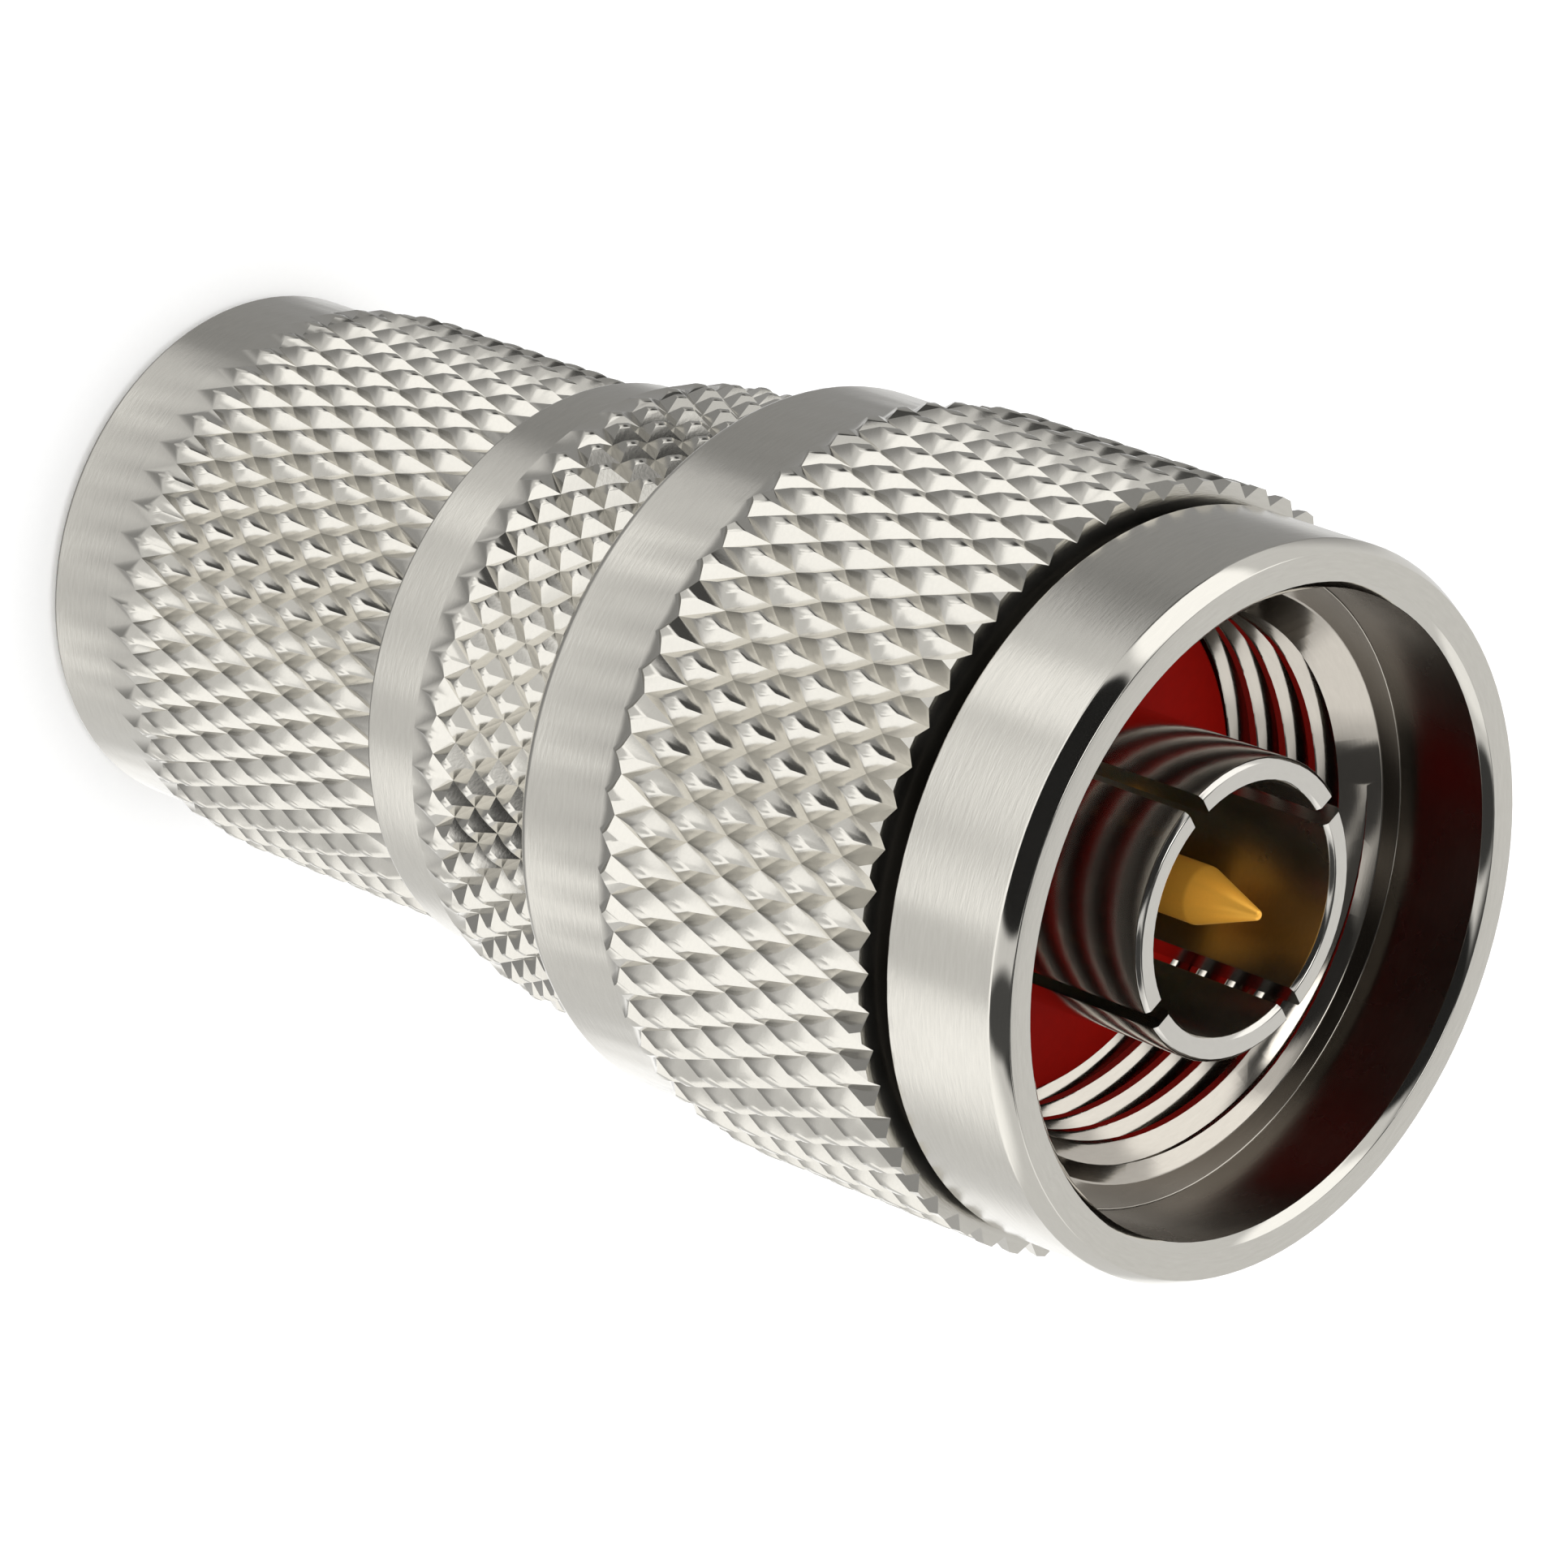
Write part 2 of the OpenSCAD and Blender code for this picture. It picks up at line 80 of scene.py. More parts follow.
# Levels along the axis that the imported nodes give
N_REAR_Z, TOP_Z = levels("n_nut")
TNC_RIM_Z, TNC_REAR_Z = levels("tnc_nut")
RING_Z, N_SEAT_Z = levels("main_body")
TNC_SEAT_Z, STUB_TOP_Z = levels("tnc_body")
N_PRESS_Z, N_SLEEVE_TOP_Z = levels("n_sleeve")
TNC_SLEEVE_END_Z, TNC_PRESS_Z = levels("tnc_sleeve")
N_BEAD_Z = levels("n_bead")[0]
TNC_BEAD_Z = levels("tnc_bead")[1]
N_GASKET_TOP_Z = levels("n_gasket")[1]
TNC_GASKET_Z = levels("tnc_gasket")[0]
N_TIP_Z = levels("n_pin")[1]
TNC_TIP_Z, TENON_TOP_Z = levels("tnc_pin")
N_CLIP_LOW_Z, N_CLIP_TOP_Z = levels("n_clip")
TNC_CLIP_LOW_Z, TNC_CLIP_TOP_Z = levels("tnc_clip")

# Room round the snap rings in their grooves
CLIP_GAP = 0.1
# Clearance between pieces that are pressed together
PRESS_GAP = 0.02
# Radii of the N half
N_BAND_R, N_RIM_R, N_GROOVE_R, N_COLLAR_R = 10.25, 9.975, 9.6, 10.2
N_MOUTH_R, N_LEAD_IN_R, N_THREAD_R, N_THREAD_MAJOR_R, N_REAR_BORE_R = 8.97, 8.25, 7.4, 7.94, 8.1
N_SHANK_R, N_NOSE_R, N_SOCKET_R, N_CLIP_GROOVE_R, N_NUT_GROOVE_R = 8.0, 7.3, 4.3, 7.1, 8.65
# Radii of the TNC half
TNC_BAND_R, TNC_MOUTH_R, TNC_THREAD_R, TNC_THREAD_MAJOR_R, TNC_REAR_BORE_R = 7.6, 5.9, 5.07, 5.56, 6.1
TNC_FLANGE_R, TNC_NOSE_R, TNC_SOCKET_R, TNC_CLIP_GROOVE_R, TNC_NUT_GROOVE_R = 6.0, 4.97, 4.1, 5.1, 6.65
# Radii of the main body and of the conductor
RING_R, STUB_R, AIR_LINE_R = 8.35, 5.5, 3.25
CONDUCTOR_R, WAIST_R, TENON_R = 1.52, 1.0, 0.9
# Radii of the contact sleeves, and the step up from each to its gasket seat
N_SLEEVE_R, N_SLEEVE_BORE_R, TNC_SLEEVE_R, TNC_SLEEVE_BORE_R = 4.2, 3.5, 4.05, 3.3
SEAT_STEP = 0.1
# Levels of the N nut and of the shank in it
N_MOUTH_Z = TOP_Z - 3.15
N_THREAD_TOP_Z = N_MOUTH_Z - (N_LEAD_IN_R - N_THREAD_R)
N_SHANK_TOP_Z = N_SEAT_Z - 1.2
N_BORE_TOP_Z = N_SHANK_TOP_Z + 0.2
N_GROOVE_Z = TOP_Z - 4.65
N_GROOVE_TOP_Z = TOP_Z - 4.15
N_KNURL_Z = N_REAR_Z + 3.35
N_RIM_Z = TOP_Z - 0.5
# Levels of the TNC nut and of the flange in it
TNC_MOUTH_Z = 1.2
TNC_THREAD_Z = TNC_MOUTH_Z + (TNC_MOUTH_R - TNC_THREAD_R)
TNC_FLANGE_Z = TNC_SEAT_Z + 0.9
TNC_BORE_Z = TNC_FLANGE_Z - 0.2
TNC_KNURL_Z = 2.5
# Levels of the fine grip on the main body
GRIP_Z = RING_Z + 2.35
GRIP_TOP_Z = N_REAR_Z - 0.2
# Chamfer inside the N nut's rim
RIM_CHAMFER = 0.23
# How far a turned blank goes on past the top of its knurl
BLANK_RELIEF = 0.1
# The cut of a thread starts this far below its bore, so that it is full from the first turn on
THREAD_OVERRUN = 0.6
# Share of the knurl's depth that its lowest row of diamonds reaches, where the rolls run out
RUN_OUT = 0.6

NICKEL = "nickel_plate"
BRIGHT_NICKEL = "bright_nickel"
GOLD = "gold_plate"


def linear(code):
    """A colour given as sRGB hex, in linear light."""
    parts = [int(code[i : i + 2], 16) / 255 for i in (1, 3, 5)]
    return tuple(c / 12.92 if c <= 0.04045 else ((c + 0.055) / 1.055) ** 2.4 for c in parts)


class AdapterSizes(bpy.types.PropertyGroup):
    """Sizes of the details that are finished here."""

    n_knurl_teeth: IntProperty(
        name="N knurl diamonds",
        description="Diamonds round the N nut's coarse knurl",
        default=58,
        min=40,
        max=62,
    )
    n_knurl_pitch: FloatProperty(
        name="N knurl pitch",
        description="Length of one coarse diamond along the axis",
        default=2.72 * MM,
        min=2.2 * MM,
        max=3 * MM,
        precision=5,
        unit="LENGTH",
    )
    body_knurl_teeth: IntProperty(
        name="Grip diamonds",
        description="Diamonds round the main body's fine knurl",
        default=51,
        min=40,
        max=60,
    )
    body_knurl_pitch: FloatProperty(
        name="Grip pitch",
        description="Length of one fine diamond along the axis",
        default=1.68 * MM,
        min=1.4 * MM,
        max=2.2 * MM,
        precision=5,
        unit="LENGTH",
    )
    tnc_knurl_teeth: IntProperty(
        name="TNC knurl diamonds",
        description="Diamonds round the TNC nut's knurl",
        default=51,
        min=36,
        max=56,
    )
    tnc_knurl_pitch: FloatProperty(
        name="TNC knurl pitch",
        description="Length of one of the TNC nut's diamonds along the axis",
        default=2.52 * MM,
        min=2 * MM,
        max=3 * MM,
        precision=5,
        unit="LENGTH",
    )
    n_thread_pitch: FloatProperty(
        name="N thread pitch",
        description="Pitch of the thread in the N nut",
        default=1.058 * MM,
        min=0.9 * MM,
        max=1.3 * MM,
        precision=6,
        unit="LENGTH",
    )
    tnc_thread_pitch: FloatProperty(
        name="TNC thread pitch",
        description="Pitch of the thread in the TNC nut",
        default=0.907 * MM,
        min=0.8 * MM,
        max=1.1 * MM,
        precision=6,
        unit="LENGTH",
    )
    edge_break: FloatProperty(
        name="Edge break",
        description="Rounding of the turned edges",
        default=0.07 * MM,
        min=0.02 * MM,
        max=0.1 * MM,
        precision=6,
        unit="LENGTH",
    )
    knurl_flank: FloatProperty(
        name="Knurl flank",
        description="Slope of the diamonds' flanks against the turned surface",
        default=math.radians(46),
        min=math.radians(44),
        max=math.radians(60),
        subtype="ANGLE",
    )
    knurl_round: FloatProperty(
        name="Knurl rounding",
        description="Rounding between a diamond's top and its flanks",
        default=0.07 * MM,
        min=0.01 * MM,
        max=0.08 * MM,
        precision=6,
        unit="LENGTH",
    )


class AdapterColours(bpy.types.PropertyGroup):
    """Colours of the finishes."""

    nickel: FloatVectorProperty(
        name="Nickel",
        description="Nickel plate on the nuts and bodies",
        subtype="COLOR",
        default=linear("#d2cfc7"),
        min=0,
        max=1,
    )
    bright_nickel: FloatVectorProperty(
        name="Bright nickel",
        description="Polished plate on the contact sleeves",
        subtype="COLOR",
        default=linear("#d6d3cc"),
        min=0,
        max=1,
    )
    gold: FloatVectorProperty(
        name="Gold",
        description="Gold plate on the contact pins",
        subtype="COLOR",
        default=linear("#fab845"),
        min=0,
        max=1,
    )
    silicone: FloatVectorProperty(
        name="Silicone",
        description="Red gaskets",
        subtype="COLOR",
        default=linear("#a80d02"),
        min=0,
        max=1,
    )
    ptfe: FloatVectorProperty(
        name="PTFE",
        description="Insulating beads",
        subtype="COLOR",
        default=linear("#f1f0ea"),
        min=0,
        max=1,
    )
    bronze: FloatVectorProperty(
        name="Bronze",
        description="Snap rings",
        subtype="COLOR",
        default=linear("#b08d57"),
        min=0,
        max=1,
    )


# Modelling ------------------------------------------------------------------------------------


def deselect():
    """Leaves no object selected."""
    for thing in bpy.context.selected_objects:
        thing.select_set(False)


def only(piece):
    """Makes a piece the only one that is selected, and the active one."""
    deselect()
    piece.select_set(True)
    bpy.context.view_layer.objects.active = piece


def radius_of(point):
    """Distance of a point from the adapter's axis, in millimetres."""
    return math.hypot(point.x, point.y) / MM


def near(a, b):
    """Whether two lengths in millimetres are the same, but for rounding."""
    return abs(a - b) < NEAR


def pick(piece, kind, test):
    """In edit mode, selects only the vertices, edges or faces that pass the test."""
    bpy.ops.mesh.select_mode(type=kind)
    bpy.ops.mesh.select_all(action="DESELECT")
    mesh = bmesh.from_edit_mesh(piece.data)
    for item in {"VERT": mesh.verts, "EDGE": mesh.edges, "FACE": mesh.faces}[kind]:
        if test(item):
            item.select_set(True)
    mesh.select_flush_mode()
    bmesh.update_edit_mesh(piece.data)


def half_section(name, points, closed=True):
    """A wire through [radius, height, rounding] points beside the axis, drawn by extruding one vertex."""
    deselect()
    bpy.ops.mesh.primitive_plane_add(size=MM, location=(0, 0, 0))
    piece = bpy.context.object
    piece.name = piece.data.name = name
    bpy.ops.object.mode_set(mode="EDIT")
    bpy.ops.mesh.select_mode(type="VERT")
    bpy.ops.mesh.select_all(action="SELECT")
    bpy.ops.mesh.merge(type="CENTER")
    bpy.ops.transform.translate(value=(points[0][0] * MM, 0, points[0][1] * MM))
    for start, end in zip(points, points[1:] + points[:1] * closed):
        move = ((end[0] - start[0]) * MM, 0, (end[1] - start[1]) * MM)
        bpy.ops.mesh.extrude_vertices_move(TRANSFORM_OT_translate={"value": move})
    bpy.ops.mesh.select_all(action="SELECT")
    bpy.ops.mesh.remove_doubles(threshold=WELD)
    for rounding in sorted({p[2] for p in points} - {0}):
        places = [p for p in points if p[2] == rounding]
        pick(
            piece,
            "VERT",
            lambda v: any(near(v.co.x / MM, p[0]) and near(v.co.z / MM, p[1]) for p in places),
        )
        bpy.ops.mesh.bevel(offset=rounding * MM, segments=3, affect="VERTICES")
    return piece


def spin(steps):
    """Turns the half section that is being edited into a closed solid."""
    bpy.ops.mesh.select_mode(type="VERT")
    bpy.ops.mesh.select_all(action="SELECT")
    bpy.ops.mesh.spin(steps=steps, angle=FULL_TURN, center=(0, 0, 0), axis=(0, 0, 1), use_auto_merge=True)
    bpy.ops.mesh.select_all(action="SELECT")
    bpy.ops.mesh.remove_doubles(threshold=WELD)
    bpy.ops.mesh.normals_make_consistent(inside=False)


def turned(name, points, closed=True, steps=96):
    """A turned piece from its half section."""
    piece = half_section(name, points, closed)
    spin(steps)
    bpy.ops.object.mode_set(mode="OBJECT")
    return piece


def knurl_rows(z0, z1, pitch):
    """Levels of a knurl's rows, half a pitch apart from the top down. The lowest gets what is left over."""
    count = math.ceil((z1 - z0) / (pitch / 2) - 0.1)
    return [z0] + [z1 - (count - j) * pitch / 2 for j in range(1, count + 1)]


def knurled(name, below, rows, above, teeth, crest_r, depth, low_r, top_r, sizes):
    """A turned piece with a band of raised diamonds between the section's points below it and above it.

    low_r is the turned radius just below the band, and top_r the radius of the crests in its highest row.
    """
    valley_r = crest_r - depth
    band = [(low_r, rows[0], 0)] + [(valley_r, z, 0) for z in rows[1:]]
    piece = half_section(name, below + band + above)
    spin(2 * teeth)
    step = FULL_TURN / (2 * teeth)

    def place(vertex):
        """Column and row of a vertex of the band, or None."""
        if not near(radius_of(vertex.co), valley_r):
            return None
        found = [j for j, z in enumerate(rows) if j and near(vertex.co.z / MM, z)]
        return (round(math.atan2(vertex.co.y, vertex.co.x) / step), found[0]) if found else None

    def crest(vertex, row):
        """Whether a vertex is the middle of a diamond in that row."""
        at = place(vertex)
        return at is not None and sum(at) % 2 == 1 and at[1] == row

    # Each diamond is drawn as a pyramid. Once its tip is cut off, it ends just under the crest radius
    side, end = math.pi * crest_r / teeth, rows[-1] - rows[-2]
    share = 1 - depth / (side * end / math.hypot(side, end) * math.tan(sizes.knurl_flank))
    reaches = [valley_r + RUN_OUT * depth] + [crest_r] * (len(rows) - 3) + [top_r]
    for row, reach in enumerate(reaches, 1):
        pick(piece, "VERT", lambda v, row=row: crest(v, row))
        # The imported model's crests are at the full radius, so these stay a hair inside
        grow = 1 + (reach - NEAR / 2 - valley_r) / (1 - share) / valley_r
        bpy.ops.transform.resize(value=(grow, grow, 1), center_override=(0, 0, 0))
    low, high = rows[0] - NEAR, rows[-1] + NEAR
    least_r = min(low_r, valley_r) - NEAR
    # Only the pyramids' tips lie further out than this
    peak_r = valley_r + 0.4 * depth

    def in_band(face):
        return all(low < v.co.z / MM < high and radius_of(v.co) > least_r for v in face.verts)

    pick(piece, "FACE", in_band)
    bpy.ops.mesh.quads_convert_to_tris(quad_method="SHORTEST_DIAGONAL")

    def end_spoke(edge):
        inner, outer = sorted(edge.verts, key=lambda v: radius_of(v.co))
        level = all(near(v.co.z / MM, rows[-1]) for v in edge.verts)
        return level and radius_of(outer.co) > peak_r and radius_of(inner.co) < valley_r - NEAR

    # The spokes of the knurl's end face go at the tips, so that the cut leaves that face flat
    pick(piece, "EDGE", end_spoke)
    bpy.ops.mesh.dissolve_edges(use_verts=False)
    pick(piece, "VERT", lambda v: radius_of(v.co) > peak_r and low < v.co.z / MM < high)
    bpy.ops.mesh.bevel(offset_type="PERCENT", offset_pct=100 * share, segments=1, affect="VERTICES")

    # A cut top is nearly level, so the ends of its edges are about as far from the axis
    level_within = 0.03

    def rim_of_top(edge):
        inside = all(low < v.co.z / MM < rows[-1] - NEAR for v in edge.verts)
        first_r, second_r = (radius_of(v.co) for v in edge.verts)
        return inside and abs(first_r - second_r) < level_within and first_r > peak_r and edge.is_convex

    pick(piece, "EDGE", rim_of_top)
    bpy.ops.mesh.bevel(offset=sizes.knurl_round, segments=2, affect="EDGES")
    bpy.ops.object.mode_set(mode="OBJECT")
    return piece


def apply(piece, kind, **settings):
    """Adds a modifier with its settings and applies it."""
    only(piece)
    modifier = piece.modifiers.new(kind.lower(), kind)
    for key, value in settings.items():
        setattr(modifier, key, value)
    bpy.ops.object.modifier_apply(modifier=modifier.name)


def cut(piece, cutter):
    """Takes the cutter's shape out of the piece, and removes the cutter."""
    apply(piece, "BOOLEAN", operation="DIFFERENCE", solver="MANIFOLD", object=cutter)
    bpy.data.objects.remove(cutter)


def thread(piece, minor_r, major_r, pitch, z0, z1):
    """Cuts a right-hand thread with flat, slightly broken crests into a bore."""
    turns = math.ceil((z1 - z0) / pitch) + 1
    root, flank_end = pitch / 12, pitch * 0.36 - 0.02
    crest_break, past, flare = 0.05, 0.12, 0.01
    # Half the width of the tap's tooth at each radius: its tip, the end of its flank, the broken edge of the
    # thread's crest, and the part that stands free in the bore
    tooth = (
        (major_r, root),
        (minor_r + crest_break, flank_end),
        (minor_r, flank_end + crest_break),
        (minor_r - past, flank_end + crest_break + flare),
    )
    profile = [(r, z0 - half, 0) for r, half in tooth] + [(r, z0 + half, 0) for r, half in reversed(tooth)]
    tap = half_section("tap", profile)
    bpy.ops.object.mode_set(mode="OBJECT")
    apply(
        tap,
        "SCREW",
        axis="Z",
        angle=FULL_TURN,
        screw_offset=pitch * MM,
        iterations=turns,
        steps=96,
        render_steps=96,
    )
    bpy.ops.object.mode_set(mode="EDIT")
    bpy.ops.mesh.select_all(action="SELECT")
    bpy.ops.mesh.remove_doubles(threshold=WELD)
    bpy.ops.mesh.fill_holes(sides=0)
    bpy.ops.mesh.select_all(action="SELECT")
    bpy.ops.mesh.normals_make_consistent(inside=False)
    bpy.ops.object.mode_set(mode="OBJECT")
    cut(piece, tap)


def block(name, size, centre):
    """A cutting block of that size, in millimetres."""
    deselect()
    bpy.ops.mesh.primitive_cube_add(size=MM, location=[c * MM for c in centre])
    made = bpy.context.object
    made.name = made.data.name = name
    made.scale = size
    bpy.ops.object.transform_apply(location=True, rotation=True, scale=True)
    return made


def slots(piece, width, z0, z1, reach):
    """Splits a sleeve into four fingers."""
    for size in ((2 * reach, width), (width, 2 * reach)):
        cut(piece, block("slitter", (*size, z1 - z0), (0, 0, (z0 + z1) / 2)))


# Materials ------------------------------------------------------------------------------------

# The middle part of a noise pattern, which is stretched over the whole of what it drives
NOISE_MIDDLE = {"From Min": 0.3, "From Max": 0.7}


def node(tree, kind, inputs=None, **settings):
    """Adds a node with its settings, and sets or links its inputs."""
    made = tree.nodes.new(kind)
    for key, value in settings.items():
        setattr(made, key, value)
    for key, value in (inputs or {}).items():
        if isinstance(value, bpy.types.NodeSocket):
            tree.links.new(value, made.inputs[key])
        else:
            made.inputs[key].default_value = value
    return made


def new_material(name):
    """An empty material, its node tree and its output."""
    made = bpy.data.materials.new(name)
    made.use_nodes = True
    made.node_tree.nodes.clear()
    return made, made.node_tree, made.node_tree.nodes.new("ShaderNodeOutputMaterial")


def round_position(tree):
    """A surface's place, and its radius and height in mm and its angle, so that a pattern runs round."""
    place = node(tree, "ShaderNodeTexCoord").outputs["Object"]
    axes = node(tree, "ShaderNodeSeparateXYZ", {0: place}).outputs
    flat = node(tree, "ShaderNodeCombineXYZ", {0: axes["X"], 1: axes["Y"]}).outputs[0]
    reach = node(tree, "ShaderNodeVectorMath", {0: flat}, operation="LENGTH").outputs["Value"]
    angle = node(tree, "ShaderNodeMath", {0: axes["Y"], 1: axes["X"]}, operation="ARCTAN2").outputs[0]
    across = node(tree, "ShaderNodeMath", {0: reach, 1: 1 / MM}, operation="MULTIPLY").outputs[0]
    along = node(tree, "ShaderNodeMath", {0: axes["Z"], 1: 1 / MM}, operation="MULTIPLY").outputs[0]
    return place, across, along, angle


def metal(
    name, colour, roughness, marks=0.0, spacing=0.08, spread=0.0, grain=0.0, mottle=0.06, metallic=1.0
):
    """Plated metal.

    marks is the height of the tool's rings in microns, spacing their distance in mm, and spread how far the
    gloss is stretched across them. grain is the height of a fine all-over texture in microns. mottle is how
    much the rings darken the colour. With metallic below 1 the plate scatters some of the light.
    """
    made, tree, output = new_material(name)
    place, across, along, angle = round_position(tree)
    # The rings change slowly on the way round, as real ones do
    slow = node(tree, "ShaderNodeMath", {0: angle, 1: 1.6}, operation="MULTIPLY").outputs[0]
    rings = node(tree, "ShaderNodeCombineXYZ", {0: across, 1: along, 2: slow}).outputs[0]
    lathe = node(
        tree,
        "ShaderNodeTexNoise",
        {"Vector": rings, "Scale": 1 / spacing, "Detail": 3.0, "Roughness": 0.62},
    ).outputs["Fac"]
    # Handling leaves the gloss uneven, in soft patches about 2.4 mm wide
    cloud = node(
        tree,
        "ShaderNodeTexNoise",
        {"Vector": place, "Scale": 1 / (2.4 * MM), "Detail": 4.0},
    ).outputs["Fac"]
    dull = node(
        tree,
        "ShaderNodeMapRange",
        {"Value": cloud, **NOISE_MIDDLE, "To Min": roughness * 0.85, "To Max": roughness * 1.2},
    ).outputs["Result"]
    shade = node(
        tree,
        "ShaderNodeMapRange",
        {"Value": lathe, **NOISE_MIDDLE, "To Min": 1 - mottle, "To Max": 1.0},
    ).outputs["Result"]
    base = node(tree, "ShaderNodeVectorMath", {0: colour, "Scale": shade}, operation="SCALE").outputs[0]
    inputs = {"Base Color": base, "Metallic": metallic, "Roughness": dull}
    reliefs = [(marks, lathe)] if marks else []
    if grain:
        # Grains about 0.09 mm wide
        fine = node(
            tree,
            "ShaderNodeTexNoise",
            {"Vector": place, "Scale": 1 / (0.09 * MM), "Detail": 2.0},
        ).outputs["Fac"]
        reliefs.append((grain, fine))
    under = {}
    for height, pattern in reliefs:
        relief = {"Height": pattern, "Distance": height * MICRON, "Strength": 1.0, **under}
        under = {"Normal": node(tree, "ShaderNodeBump", relief).outputs["Normal"]}
    inputs.update(under)
    if spread:
        # The rings run round the axis, so the gloss is stretched across them
        inputs["Tangent"] = node(tree, "ShaderNodeTangent", direction_type="RADIAL", axis="Z").outputs[0]
        inputs["Anisotropic"] = spread
        inputs["Anisotropic Rotation"] = 0.25
    shader = node(tree, "ShaderNodeBsdfPrincipled", inputs)
    tree.links.new(shader.outputs[0], output.inputs["Surface"])
    return made


def moulded(name, colour, roughness, grain, subsurface, ior, gloss=0.5, mottle=0.1):
    """Moulded or machined plastic, rubber or card, with an uneven skin that is grain microns high."""
    made, tree, output = new_material(name)
    place = node(tree, "ShaderNodeTexCoord").outputs["Object"]
    # Unevenness about 0.25 mm wide
    skin = node(
        tree,
        "ShaderNodeTexNoise",
        {"Vector": place, "Scale": 1 / (0.25 * MM), "Detail": 4.0},
    ).outputs["Fac"]
    shade = node(
        tree,
        "ShaderNodeMapRange",
        {"Value": skin, **NOISE_MIDDLE, "To Min": 1 - mottle, "To Max": 1.0},
    ).outputs["Result"]
    base = node(tree, "ShaderNodeVectorMath", {0: colour, "Scale": shade}, operation="SCALE").outputs[0]
    relief = {"Height": skin, "Distance": grain * MICRON, "Strength": 1.0}
    bump = node(tree, "ShaderNodeBump", relief).outputs["Normal"]
    shader = node(
        tree,
        "ShaderNodeBsdfPrincipled",
        {
            "Base Color": base,
            "Roughness": roughness,
            "IOR": ior,
            "Specular IOR Level": gloss,
            "Normal": bump,
            "Subsurface Weight": subsurface,
            "Subsurface Scale": 0.3 * MM,
        },
    )
    tree.links.new(shader.outputs[0], output.inputs["Surface"])
    return made


def finish_named(name):
    """The finish of that name, made the first time that it is asked for."""
    if name in bpy.data.materials:
        return bpy.data.materials[name]
    colours = bpy.context.scene.adapter_colours
    nickel, bright = tuple(colours.nickel), tuple(colours.bright_nickel)
    makers = {
        # Turned brass under thin nickel: satin, with the tool's rings still showing through the plate.
        # Real feed marks are about 0.03 mm apart, and are drawn coarser so that they show
        "turned_nickel": lambda: metal(name, nickel, 0.18, marks=4.0, spacing=0.1, spread=0.6),
        # Rolled knurl under the same plate: burnished by the roll, so smoother, with no rings
        "rolled_nickel": lambda: metal(name, nickel, 0.14, grain=0.8, mottle=0.04),
        # The rim's chamfers are cut last, with a sharp tool: crisp and bright, mirroring dark and light
        "chamfer_nickel": lambda: metal(name, nickel, 0.07, marks=0.3, spacing=0.08, mottle=0.03),
        # Bored out with a long tool: duller than the outside. Its dark colour is painted shade inside the
        # mouth
        "bore_nickel_painted_shade": lambda: metal(name, linear("#6a645d"), 0.26, marks=2.0, spacing=0.1, mottle=0.08),
        # A thread and its seat are cut with a sharp form tool, and mirror crisply
        # Its colour, a little darker than the outside plate, is painted shade inside the bore
        "thread_nickel_painted_shade": lambda: metal(name, linear("#c0bab0"), 0.1, marks=0.6, spacing=0.1, mottle=0.05),
        # The narrow groove is dull, and its nearly black colour is painted shade in the groove
        "groove_nickel_painted_shade": lambda: metal(name, linear("#3b3834"), 0.35, marks=1.0, spacing=0.08),
        # Contact sleeves are polished outside before they are plated: bright, with faint rings
        "polished_nickel": lambda: metal(name, bright, 0.11, marks=0.8, spacing=0.15, mottle=0.03),
        # They are reamed inside, which leaves a grey, streaky bore
        "reamed_nickel": lambda: metal(name, linear("#b8b2a6"), 0.24, marks=1.5, spacing=0.09, mottle=0.1),
        # Gold over a turned pin: warm and soft. It scatters enough light to show up in its dark bore
        "gold_on_brass": lambda: metal(
            name, tuple(colours.gold), 0.33, marks=0.8, spacing=0.08, mottle=0.05, metallic=0.55
        ),
        # Drawn spring bronze, bare: a warm brown with a drawn grain
        "spring_bronze": lambda: metal(name, tuple(colours.bronze), 0.3, marks=1.0, spacing=0.1, grain=1.0),
        # Moulded silicone rubber: flat red, dull, with a faint bloom
        "silicone_rubber": lambda: moulded(name, tuple(colours.silicone), 0.55, 6.0, 0.0, 1.41, gloss=0.2),
        # Machined PTFE: waxy white that lets a little light in
        "machined_ptfe": lambda: moulded(name, tuple(colours.ptfe), 0.4, 3.0, 0.4, 1.35),
        # Seamless card under the adapter: white and dull, with a faint tooth
        "white_card": lambda: moulded(name, linear("#fcfcfc"), 0.9, 0.4, 0.0, 1.45, mottle=0.01),
    }
    return makers[name]()


def finish(piece, body, node_name, slot, *names, zone=None):
    """Gives a piece its shading, its finishes and its place in the adapter.

    On a piece with more than one finish, zone names a face's finish from the radius and height of its centre.
    """
    only(piece)
    bpy.ops.object.shade_smooth_by_angle(angle=SMOOTH_UNDER)
    piece.data.materials.clear()
    for name in names:
        piece.data.materials.append(finish_named(name))
    if zone:
        for face in piece.data.polygons:
            face.material_index = names.index(zone(radius_of(face.center), face.center.z / MM))
    apply(piece, "WEIGHTED_NORMAL", keep_sharp=True, weight=80)
    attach(piece, body)
    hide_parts(node_name)


def rolled_or_turned(rows, least_r, r, z):
    """Finish of a face at that radius and height, on a piece whose knurl has these rows."""
    return "rolled_nickel" if rows[0] < z < rows[-1] - NEAR and r > least_r else "turned_nickel"


# Pieces ---------------------------------------------------------------------------------------


